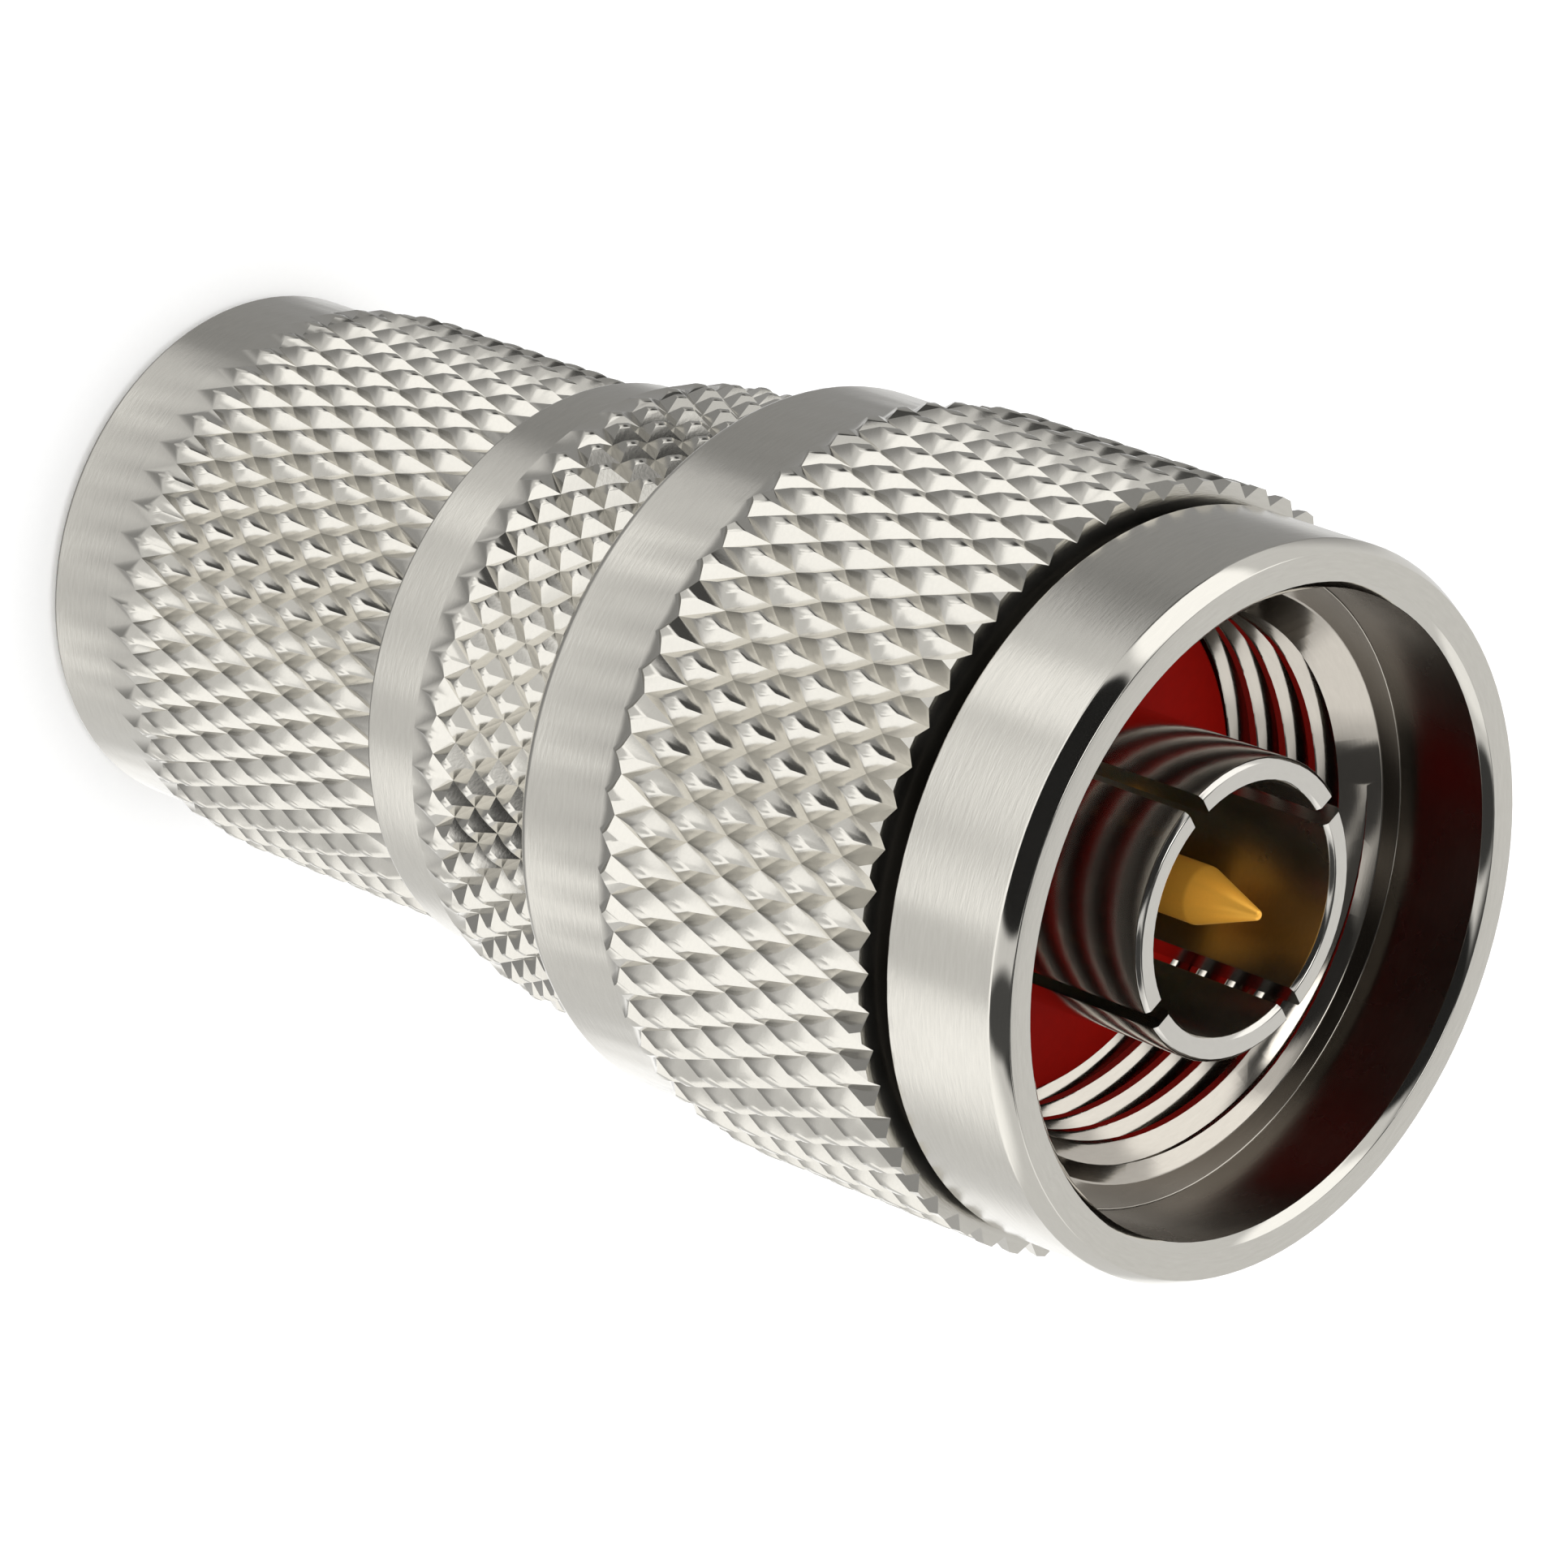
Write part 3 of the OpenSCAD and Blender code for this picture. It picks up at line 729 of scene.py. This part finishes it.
def make_n_nut(sizes):
    """Free nut of the N plug: smooth band, groove, coarse knurl and collar outside, thread inside."""
    e = sizes.edge_break / MM
    crest_r, depth = 10.75, 0.38
    rows = knurl_rows(N_KNURL_Z, N_GROOVE_Z, sizes.n_knurl_pitch / MM)
    chamfer = 0.45
    below = [
        (N_REAR_BORE_R, N_CLIP_LOW_Z - CLIP_GAP, 0),
        (N_REAR_BORE_R, N_REAR_Z, e),
        (N_COLLAR_R - chamfer, N_REAR_Z, e),
        (N_COLLAR_R, N_REAR_Z + chamfer, 2 * e),
    ]
    above = [
        (N_GROOVE_R, N_GROOVE_Z, 0),
        (N_GROOVE_R, N_GROOVE_TOP_Z, e),
        (N_BAND_R, N_GROOVE_TOP_Z, e),
        (N_BAND_R, N_RIM_Z, e / 2),
        (N_RIM_R, TOP_Z, e / 2),
        (N_MOUTH_R + RIM_CHAMFER, TOP_Z, e / 4),
        (N_MOUTH_R, TOP_Z - RIM_CHAMFER, e / 4),
        (N_MOUTH_R, N_MOUTH_Z, e / 2),
        (N_LEAD_IN_R, N_MOUTH_Z, e / 2),
        (N_THREAD_R, N_THREAD_TOP_Z, 0),
        (N_THREAD_R, N_BORE_TOP_Z, 0),
        (N_REAR_BORE_R, N_BORE_TOP_Z, 0),
        (N_REAR_BORE_R, N_CLIP_TOP_Z + CLIP_GAP, 0),
        (N_NUT_GROOVE_R, N_CLIP_TOP_Z + CLIP_GAP, 0),
        (N_NUT_GROOVE_R, N_CLIP_LOW_Z - CLIP_GAP, 0),
    ]
    piece = knurled(
        "n_coupling_nut", below, rows, above, sizes.n_knurl_teeth, crest_r, depth, N_COLLAR_R, crest_r, sizes
    )
    thread(
        piece,
        N_THREAD_R,
        N_THREAD_MAJOR_R,
        sizes.n_thread_pitch / MM,
        N_BORE_TOP_Z - THREAD_OVERRUN,
        N_MOUTH_Z,
    )

    def zone(r, z):
        on_rim_face = z > TOP_Z - NEAR and N_MOUTH_R + RIM_CHAMFER < r < N_RIM_R
        # The thread's slightly darker colour is painted shade inside the bore
        if r < N_MOUTH_R - NEAR:
            return "thread_nickel_painted_shade"
        # The mouth's wall is painted dark: painted shade in the recess
        if r < N_MOUTH_R + NEAR and z < TOP_Z - RIM_CHAMFER:
            return "bore_nickel_painted_shade"
        if z > N_RIM_Z and not on_rim_face:
            return "chamfer_nickel"
        # The groove's faces are painted nearly black: painted shade in the groove
        if N_GROOVE_Z + NEAR < z < N_GROOVE_TOP_Z + NEAR and r < N_BAND_R - SAG:
            return "groove_nickel_painted_shade"
        return rolled_or_turned(rows, N_COLLAR_R - SAG, r, z)

    finish(
        piece,
        "n_coupling_nut",
        "n_nut",
        NICKEL,
        "turned_nickel",
        "rolled_nickel",
        "bore_nickel_painted_shade",
        "thread_nickel_painted_shade",
        "chamfer_nickel",
        "groove_nickel_painted_shade",
        zone=zone,
    )


def make_tnc_nut(sizes):
    """Free nut of the TNC plug, which the adapter stands on."""
    e = sizes.edge_break / MM
    crest_r, depth, chamfer = 8.1, 0.36, 0.3
    knurl_top_z = TNC_REAR_Z - BLANK_RELIEF
    rows = knurl_rows(TNC_KNURL_Z, knurl_top_z, sizes.tnc_knurl_pitch / MM)
    below = [
        (TNC_THREAD_R, TNC_THREAD_Z, 0),
        (TNC_MOUTH_R, TNC_MOUTH_Z, e / 2),
        (TNC_MOUTH_R, TNC_RIM_Z, e),
        (TNC_BAND_R - chamfer, TNC_RIM_Z, e),
        (TNC_BAND_R, TNC_RIM_Z + chamfer, e),
    ]
    above = [
        (TNC_BAND_R, knurl_top_z, 0),
        (TNC_BAND_R, TNC_REAR_Z, 0),
        (TNC_REAR_BORE_R, TNC_REAR_Z, e),
        (TNC_REAR_BORE_R, TNC_CLIP_TOP_Z + CLIP_GAP, 0),
        (TNC_NUT_GROOVE_R, TNC_CLIP_TOP_Z + CLIP_GAP, 0),
        (TNC_NUT_GROOVE_R, TNC_CLIP_LOW_Z - CLIP_GAP, 0),
        (TNC_REAR_BORE_R, TNC_CLIP_LOW_Z - CLIP_GAP, 0),
        (TNC_REAR_BORE_R, TNC_BORE_Z, 0),
        (TNC_THREAD_R, TNC_BORE_Z, 0),
    ]
    piece = knurled(
        "tnc_coupling_nut",
        below,
        rows,
        above,
        sizes.tnc_knurl_teeth,
        crest_r,
        depth,
        TNC_BAND_R,
        crest_r - depth / 2,
        sizes,
    )
    thread(
        piece,
        TNC_THREAD_R,
        TNC_THREAD_MAJOR_R,
        sizes.tnc_thread_pitch / MM,
        TNC_MOUTH_Z - THREAD_OVERRUN,
        TNC_BORE_Z,
    )

    def zone(r, z):
        # Inside the mouth the bore and the thread take darker colours: painted shade inside the nut
        if r < TNC_MOUTH_R + NEAR and z > NEAR:
            return "bore_nickel_painted_shade" if z < TNC_MOUTH_Z else "thread_nickel_painted_shade"
        return rolled_or_turned(rows, TNC_BAND_R - SAG, r, z)

    finish(
        piece,
        "tnc_coupling_nut",
        "tnc_nut",
        NICKEL,
        "turned_nickel",
        "rolled_nickel",
        "bore_nickel_painted_shade",
        "thread_nickel_painted_shade",
        zone=zone,
    )


def make_main_body(sizes):
    """Shank of the N nut, finely knurled grip and smooth ring."""
    e = sizes.edge_break / MM
    crest_r, depth = 9.2, 0.38
    blank_r = crest_r - depth - 0.05
    knurl_top_z = GRIP_TOP_Z - BLANK_RELIEF
    rows = knurl_rows(GRIP_Z, knurl_top_z, sizes.body_knurl_pitch / MM)
    below = [
        (AIR_LINE_R, STUB_TOP_Z, 0),
        (STUB_R, STUB_TOP_Z, 0),
        (STUB_R, RING_Z, 0),
        (RING_R, RING_Z, 2 * e),
        (RING_R, GRIP_Z, 0),
    ]
    above = [
        (blank_r, knurl_top_z, 0),
        (blank_r, GRIP_TOP_Z, 0),
        (N_SHANK_R, GRIP_TOP_Z, 0),
        (N_SHANK_R, N_CLIP_LOW_Z - CLIP_GAP, e),
        (N_CLIP_GROOVE_R, N_CLIP_LOW_Z - CLIP_GAP, 0),
        (N_CLIP_GROOVE_R, N_CLIP_TOP_Z + CLIP_GAP, 0),
        (N_SHANK_R, N_CLIP_TOP_Z + CLIP_GAP, e),
        (N_SHANK_R, N_SHANK_TOP_Z, e),
        (N_NOSE_R, N_SHANK_TOP_Z, 0),
        (N_NOSE_R, N_SEAT_Z, e),
        (N_SOCKET_R, N_SEAT_Z, 0),
        (N_SOCKET_R, N_BEAD_Z, 0),
        (AIR_LINE_R, N_BEAD_Z, 0),
    ]
    piece = knurled(
        "main_body_shell",
        below,
        rows,
        above,
        sizes.body_knurl_teeth,
        crest_r,
        depth,
        crest_r - depth,
        crest_r,
        sizes,
    )

    def zone(r, z):
        return rolled_or_turned(rows, blank_r, r, z)

    finish(piece, "adapter_body", "main_body", NICKEL, "turned_nickel", "rolled_nickel", zone=zone)


def make_tnc_body(sizes):
    """Nose, flange and stub of the TNC half."""
    e = sizes.edge_break / MM
    piece = turned(
        "tnc_body_shell",
        [
            (TNC_SOCKET_R, TNC_SEAT_Z, 0),
            (TNC_NOSE_R, TNC_SEAT_Z, e),
            (TNC_NOSE_R, TNC_FLANGE_Z, 0),
            (TNC_FLANGE_R, TNC_FLANGE_Z, e),
            (TNC_FLANGE_R, TNC_CLIP_LOW_Z - CLIP_GAP, e),
            (TNC_CLIP_GROOVE_R, TNC_CLIP_LOW_Z - CLIP_GAP, 0),
            (TNC_CLIP_GROOVE_R, TNC_CLIP_TOP_Z + CLIP_GAP, 0),
            (TNC_FLANGE_R, TNC_CLIP_TOP_Z + CLIP_GAP, e),
            (TNC_FLANGE_R, RING_Z, 0),
            (STUB_R - PRESS_GAP, RING_Z, 0),
            (STUB_R - PRESS_GAP, STUB_TOP_Z, e),
            (AIR_LINE_R, STUB_TOP_Z, 0),
            (AIR_LINE_R, TNC_BEAD_Z, 0),
            (TNC_SOCKET_R, TNC_BEAD_Z, 0),
        ],
    )
    finish(piece, "adapter_body", "tnc_body", NICKEL, "turned_nickel")


def make_sleeves(sizes):
    """Slotted outer contacts of both plugs."""
    e = sizes.edge_break / MM
    bevel = 0.12
    slot_width, n_slot, tnc_slot, past = 0.6, 6, 4.6, 1
    r, bore_r = N_SLEEVE_R, N_SLEEVE_BORE_R
    press_r = N_SOCKET_R - PRESS_GAP
    n_sleeve = turned(
        "n_contact_sleeve",
        [
            (bore_r, N_PRESS_Z, 0),
            (press_r, N_PRESS_Z, 0),
            (press_r, N_GASKET_TOP_Z, 0),
            (r, N_GASKET_TOP_Z, 0),
            (r, N_SLEEVE_TOP_Z - bevel, e / 2),
            (r - bevel, N_SLEEVE_TOP_Z, e / 2),
            (bore_r + bevel, N_SLEEVE_TOP_Z, e / 2),
            (bore_r, N_SLEEVE_TOP_Z - bevel, e / 2),
        ],
        steps=60,
    )
    slots(n_sleeve, slot_width, N_SLEEVE_TOP_Z - n_slot, N_SLEEVE_TOP_Z + past, r + past)
    r, bore_r = TNC_SLEEVE_R, TNC_SLEEVE_BORE_R
    press_r = TNC_SOCKET_R - PRESS_GAP
    seat_r = min(r + SEAT_STEP, press_r)
    tnc_sleeve = turned(
        "tnc_contact_sleeve",
        [
            (bore_r, TNC_PRESS_Z, 0),
            (press_r, TNC_PRESS_Z, 0),
            (press_r, TNC_SEAT_Z, 0),
            (seat_r, TNC_SEAT_Z, 0),
            (seat_r, TNC_GASKET_Z, 0),
            (r, TNC_GASKET_Z, 0),
            (r, TNC_SLEEVE_END_Z + bevel, e / 2),
            (r - bevel, TNC_SLEEVE_END_Z, e / 2),
            (bore_r + bevel, TNC_SLEEVE_END_Z, e / 2),
            (bore_r, TNC_SLEEVE_END_Z + bevel, e / 2),
        ],
        steps=60,
    )
    slots(tnc_sleeve, slot_width, TNC_SLEEVE_END_Z - past, TNC_SLEEVE_END_Z + tnc_slot, r + past)
    for piece, name, inside_r in (
        (n_sleeve, "n_sleeve", N_SLEEVE_BORE_R + NEAR),
        (tnc_sleeve, "tnc_sleeve", TNC_SLEEVE_BORE_R + NEAR),
    ):
        finish(
            piece,
            "adapter_body",
            name,
            BRIGHT_NICKEL,
            "polished_nickel",
            "reamed_nickel",
            zone=lambda r, z, inside_r=inside_r: "reamed_nickel" if r < inside_r else "polished_nickel",
        )


def make_pins(sizes):
    """Both halves of the centre conductor, with their pins."""
    e = sizes.edge_break / MM
    tip_r = 0.12
    r, cone, length = 0.82, 2.0, 5.6
    n_shoulder_z = N_TIP_Z - length
    n_pin = turned(
        "n_contact_pin",
        [
            (0, N_TIP_Z, 0),
            (tip_r, N_TIP_Z, e),
            (r, N_TIP_Z - cone, e),
            (r, n_shoulder_z, 0),
            (CONDUCTOR_R, n_shoulder_z, e),
            (CONDUCTOR_R, N_PRESS_Z, e),
            (WAIST_R, N_PRESS_Z, 0),
            (WAIST_R, N_BEAD_Z, 0),
            (CONDUCTOR_R, N_BEAD_Z, e),
            (CONDUCTOR_R, STUB_TOP_Z, e),
            (TENON_R, STUB_TOP_Z, 0),
            (TENON_R, TENON_TOP_Z, 0),
            (0, TENON_TOP_Z, 0),
        ],
        closed=False,
        steps=64,
    )
    r, cone, length = 0.675, 0.9, 5.0
    tnc_shoulder_z = TNC_TIP_Z + length
    tnc_pin = turned(
        "tnc_contact_pin",
        [
            (0, TNC_TIP_Z, 0),
            (tip_r, TNC_TIP_Z, e),
            (r, TNC_TIP_Z + cone, e),
            (r, tnc_shoulder_z, 0),
            (CONDUCTOR_R, tnc_shoulder_z, e),
            (CONDUCTOR_R, TNC_PRESS_Z, e),
            (WAIST_R, TNC_PRESS_Z, 0),
            (WAIST_R, TNC_BEAD_Z, 0),
            (CONDUCTOR_R, TNC_BEAD_Z, e),
            (CONDUCTOR_R, STUB_TOP_Z, e),
            (TENON_R - PRESS_GAP, STUB_TOP_Z, 0),
            (TENON_R - PRESS_GAP, TENON_TOP_Z, e),
            (0, TENON_TOP_Z, 0),
        ],
        closed=False,
        steps=64,
    )
    for piece, name in ((n_pin, "n_pin"), (tnc_pin, "tnc_pin")):
        finish(piece, "adapter_body", name, GOLD, "gold_on_brass")


def ring(name, inner_r, outer_r, z0, z1, rounding):
    """A ring of rectangular section with rounded edges."""
    corners = [(inner_r, z0), (outer_r, z0), (outer_r, z1), (inner_r, z1)]
    return turned(name, [(r, z, rounding) for r, z in corners])


def make_insulators(sizes):
    """Beads that carry the conductor, and the red gaskets on both seats."""
    e = sizes.edge_break / MM
    gasket_round = 0.12
    bead_bore_r = WAIST_R + PRESS_GAP
    # A gasket lies round its sleeve's seat with a little room
    foot = SEAT_STEP + 0.05
    rings = (
        ("n_insulating_bead", "n_bead", "ptfe", bead_bore_r, N_SOCKET_R - PRESS_GAP, e),
        ("tnc_insulating_bead", "tnc_bead", "ptfe", bead_bore_r, TNC_SOCKET_R - PRESS_GAP, e),
        ("n_seal", "n_gasket", "silicone", N_SLEEVE_R + foot, N_NOSE_R, gasket_round),
        ("tnc_seal", "tnc_gasket", "silicone", TNC_SLEEVE_R + foot, TNC_NOSE_R, gasket_round),
    )
    looks = {"ptfe": "machined_ptfe", "silicone": "silicone_rubber"}
    for name, stands_for, slot, inner_r, outer_r, rounding in rings:
        piece = ring(name, inner_r, outer_r, *levels(stands_for), rounding)
        finish(piece, "adapter_body", stands_for, slot, looks[slot])


def make_snap_rings(sizes):
    """Split rings that hold the nuts on."""
    e = sizes.edge_break / MM
    split, past, reach = 2.4, 0.5, 10
    for stands_for, groove_r, nut_groove_r in (
        ("n_clip", N_CLIP_GROOVE_R, N_NUT_GROOVE_R),
        ("tnc_clip", TNC_CLIP_GROOVE_R, TNC_NUT_GROOVE_R),
    ):
        z0, z1 = levels(stands_for)
        piece = ring(stands_for + "_ring", groove_r + PRESS_GAP, nut_groove_r - CLIP_GAP, z0, z1, e)
        cut(piece, block("gap", (reach, split, z1 - z0 + 2 * past), (reach / 2, 0, (z0 + z1) / 2)))
        finish(piece, "adapter_body", stands_for, "bronze", "spring_bronze")


# Stage ----------------------------------------------------------------------------------------

# The camera's place in millimetres, the way that it looks, its roll in degrees and its lens
VIEW_POSITION = Vector((-96.0069, 160.4845, 182.0158)) * MM
VIEW_DIRECTION = Vector((0.387000, -0.655374, -0.648626))
VIEW_ROLL = 110.2223
VIEW_LENS = 204.24
SENSOR_WIDTH = 36

# How bright the polished metal sees the room between the areas below
ROOM_LIGHT = 0.82
# Soft round areas of the room, laid over one another in this order: compass angle and height of the middle,
# half width of the full area and half width with its soft edge, all in degrees, and brightness
ROOM = (
    (0, -90, 20, 42, 0.32),  # dim, straight below
    (281, -40, 10, 25, 1.3),  # low panel on the far side
    (195, -18, 20, 32, 1.45),  # three low panels on the camera's side
    (150, -15, 20, 30, 1.45),
    (112, -12, 21, 30, 1.5),
    (163, -34, 6, 12, 0.8),  # duller patch under them
    (5, -38, 22, 34, 0.36),  # dim corner low on the left
    (80, -34, 6, 12, 1.4),  # bright patch beside it
    (46, -20, 13, 20, 0.08),  # dark gap above it
    (43, 14, 18, 24, 1.5),  # foot of the tall panel on the left
    (0, 90, 28, 40, 0.06),  # dark ceiling
    (20, 40, 16, 24, 1.5),  # top of the tall panel
    (236, 34, 12, 20, 1.2),  # panel on the right
    (184, 36, 16, 22, 0.05),  # dark gap beside it, and its foot
    (172, 18, 9, 15, 0.08),
    (108, 31, 30, 36, 0.015),  # unlit wall behind the camera, wider at its foot
    (85, 21, 12, 16, 0.015),
    (133, 24, 14, 18, 0.015),
    (55, 75, 8, 12, 2.5),  # lamp near the ceiling
)
# Even light that falls on everything that isn't polished
SOFT_LIGHT = 1.5


def direction(compass, height):
    """Unit vector of a compass angle and a height in degrees."""
    a, h = math.radians(compass), math.radians(height)
    return math.cos(h) * math.cos(a), math.cos(h) * math.sin(a), math.sin(h)


def make_room():
    """Soft light from all round, with brighter panels and dark gaps between them for the metal to mirror."""
    world = bpy.data.worlds.new("room")
    bpy.context.scene.world = world
    world.use_nodes = True
    tree = world.node_tree
    tree.nodes.clear()
    way = node(tree, "ShaderNodeTexCoord").outputs["Generated"]
    light = ROOM_LIGHT
    for compass, height, inner, outer, value in ROOM:
        middle = direction(compass, height)
        dot = node(tree, "ShaderNodeVectorMath", {0: way, 1: middle}, operation="DOT_PRODUCT")
        share = node(
            tree,
            "ShaderNodeMapRange",
            {
                "Value": dot.outputs["Value"],
                "From Min": math.cos(math.radians(outer)),
                "From Max": math.cos(math.radians(inner)),
            },
            interpolation_type="SMOOTHSTEP",
        ).outputs["Result"]
        light = node(tree, "ShaderNodeMix", {"Factor": share, "A": light, "B": value}).outputs["Result"]
    mirrored = node(tree, "ShaderNodeLightPath").outputs["Is Glossy Ray"]
    seen = node(tree, "ShaderNodeMix", {"Factor": mirrored, "A": SOFT_LIGHT, "B": light}).outputs["Result"]
    shader = node(tree, "ShaderNodeBackground", {"Color": (1, 1, 1, 1), "Strength": seen})
    output = node(tree, "ShaderNodeOutputWorld")
    tree.links.new(shader.outputs[0], output.inputs["Surface"])


def make_stage():
    """Pale floor, soft light and the camera."""
    deselect()
    # Four metres of card, so that its edge is never in view
    bpy.ops.mesh.primitive_plane_add(size=4, location=(0, 0, 0))
    floor = bpy.context.object
    floor.name = floor.data.name = "floor"
    floor.data.materials.append(finish_named("white_card"))
    # The polished metal mirrors the soft room and not the floor that it stands on
    floor.visible_glossy = False
    make_room()
    data = bpy.data.cameras.new("camera")
    data.sensor_width, data.lens, data.clip_start = SENSOR_WIDTH, VIEW_LENS, 10 * MM
    camera = bpy.data.objects.new("camera", data)
    bpy.context.scene.collection.objects.link(camera)
    camera.location = VIEW_POSITION
    camera.rotation_mode = "QUATERNION"
    camera.rotation_quaternion = VIEW_DIRECTION.to_track_quat("-Z", "Y") @ Quaternion(
        (0, 0, 1), math.radians(VIEW_ROLL)
    )
    bpy.context.scene.camera = camera
    bpy.context.scene.view_settings.view_transform = "Standard"


# Operators and panel --------------------------------------------------------------------------


def run(make):
    """Calls a maker with the sizes, for an operator."""
    make(bpy.context.scene.adapter_sizes)
    return {"FINISHED"}


class ADAPTER_OT_n_nut(bpy.types.Operator):
    """Builds the knurled and threaded nut of the N plug"""

    bl_idname = "adapter.n_nut"
    bl_label = "N coupling nut"

    def execute(self, context):
        return run(make_n_nut)


class ADAPTER_OT_tnc_nut(bpy.types.Operator):
    """Builds the knurled and threaded nut of the TNC plug"""

    bl_idname = "adapter.tnc_nut"
    bl_label = "TNC coupling nut"

    def execute(self, context):
        return run(make_tnc_nut)


class ADAPTER_OT_bodies(bpy.types.Operator):
    """Builds the main body with its fine grip, and the TNC half that is pressed into it"""

    bl_idname = "adapter.bodies"
    bl_label = "Bodies"

    def execute(self, context):
        run(make_main_body)
        return run(make_tnc_body)


class ADAPTER_OT_sleeves(bpy.types.Operator):
    """Builds the slotted outer contacts"""

    bl_idname = "adapter.sleeves"
    bl_label = "Contact sleeves"

    def execute(self, context):
        return run(make_sleeves)


class ADAPTER_OT_pins(bpy.types.Operator):
    """Builds the two halves of the centre conductor"""

    bl_idname = "adapter.pins"
    bl_label = "Contact pins"

    def execute(self, context):
        return run(make_pins)


class ADAPTER_OT_insulators(bpy.types.Operator):
    """Builds the insulating beads and the red gaskets"""

    bl_idname = "adapter.insulators"
    bl_label = "Beads and gaskets"

    def execute(self, context):
        return run(make_insulators)


class ADAPTER_OT_snap_rings(bpy.types.Operator):
    """Builds the split rings that hold the nuts on"""

    bl_idname = "adapter.snap_rings"
    bl_label = "Snap rings"

    def execute(self, context):
        return run(make_snap_rings)


class ADAPTER_OT_stage(bpy.types.Operator):
    """Sets up the floor, the light and the camera"""

    bl_idname = "adapter.stage"
    bl_label = "Stage"

    def execute(self, context):
        make_stage()
        return {"FINISHED"}


OPERATORS = (
    ADAPTER_OT_n_nut,
    ADAPTER_OT_tnc_nut,
    ADAPTER_OT_bodies,
    ADAPTER_OT_sleeves,
    ADAPTER_OT_pins,
    ADAPTER_OT_insulators,
    ADAPTER_OT_snap_rings,
    ADAPTER_OT_stage,
)


class ADAPTER_PT_panel(bpy.types.Panel):
    """Lists the pieces, and the sizes and colours that they read"""

    bl_label = "Coaxial adapter"
    bl_space_type = "VIEW_3D"
    bl_region_type = "UI"
    bl_category = "Adapter"

    def draw(self, context):
        for group in (context.scene.adapter_sizes, context.scene.adapter_colours):
            for name in group.__annotations__:
                self.layout.prop(group, name)
        for operator in OPERATORS:
            self.layout.operator(operator.bl_idname)


CLASSES = (AdapterSizes, AdapterColours, *OPERATORS, ADAPTER_PT_panel)


def register():
    for made in CLASSES:
        bpy.utils.register_class(made)
    bpy.types.Scene.adapter_sizes = PointerProperty(type=AdapterSizes)
    bpy.types.Scene.adapter_colours = PointerProperty(type=AdapterColours)


def unregister():
    del bpy.types.Scene.adapter_sizes
    del bpy.types.Scene.adapter_colours
    for made in reversed(CLASSES):
        bpy.utils.unregister_class(made)


def main():
    """Registers the add-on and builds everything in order."""
    register()
    bpy.ops.adapter.n_nut()
    bpy.ops.adapter.tnc_nut()
    bpy.ops.adapter.bodies()
    bpy.ops.adapter.sleeves()
    bpy.ops.adapter.pins()
    bpy.ops.adapter.insulators()
    bpy.ops.adapter.snap_rings()
    bpy.ops.adapter.stage()


if __name__ == "__main__":
    main()
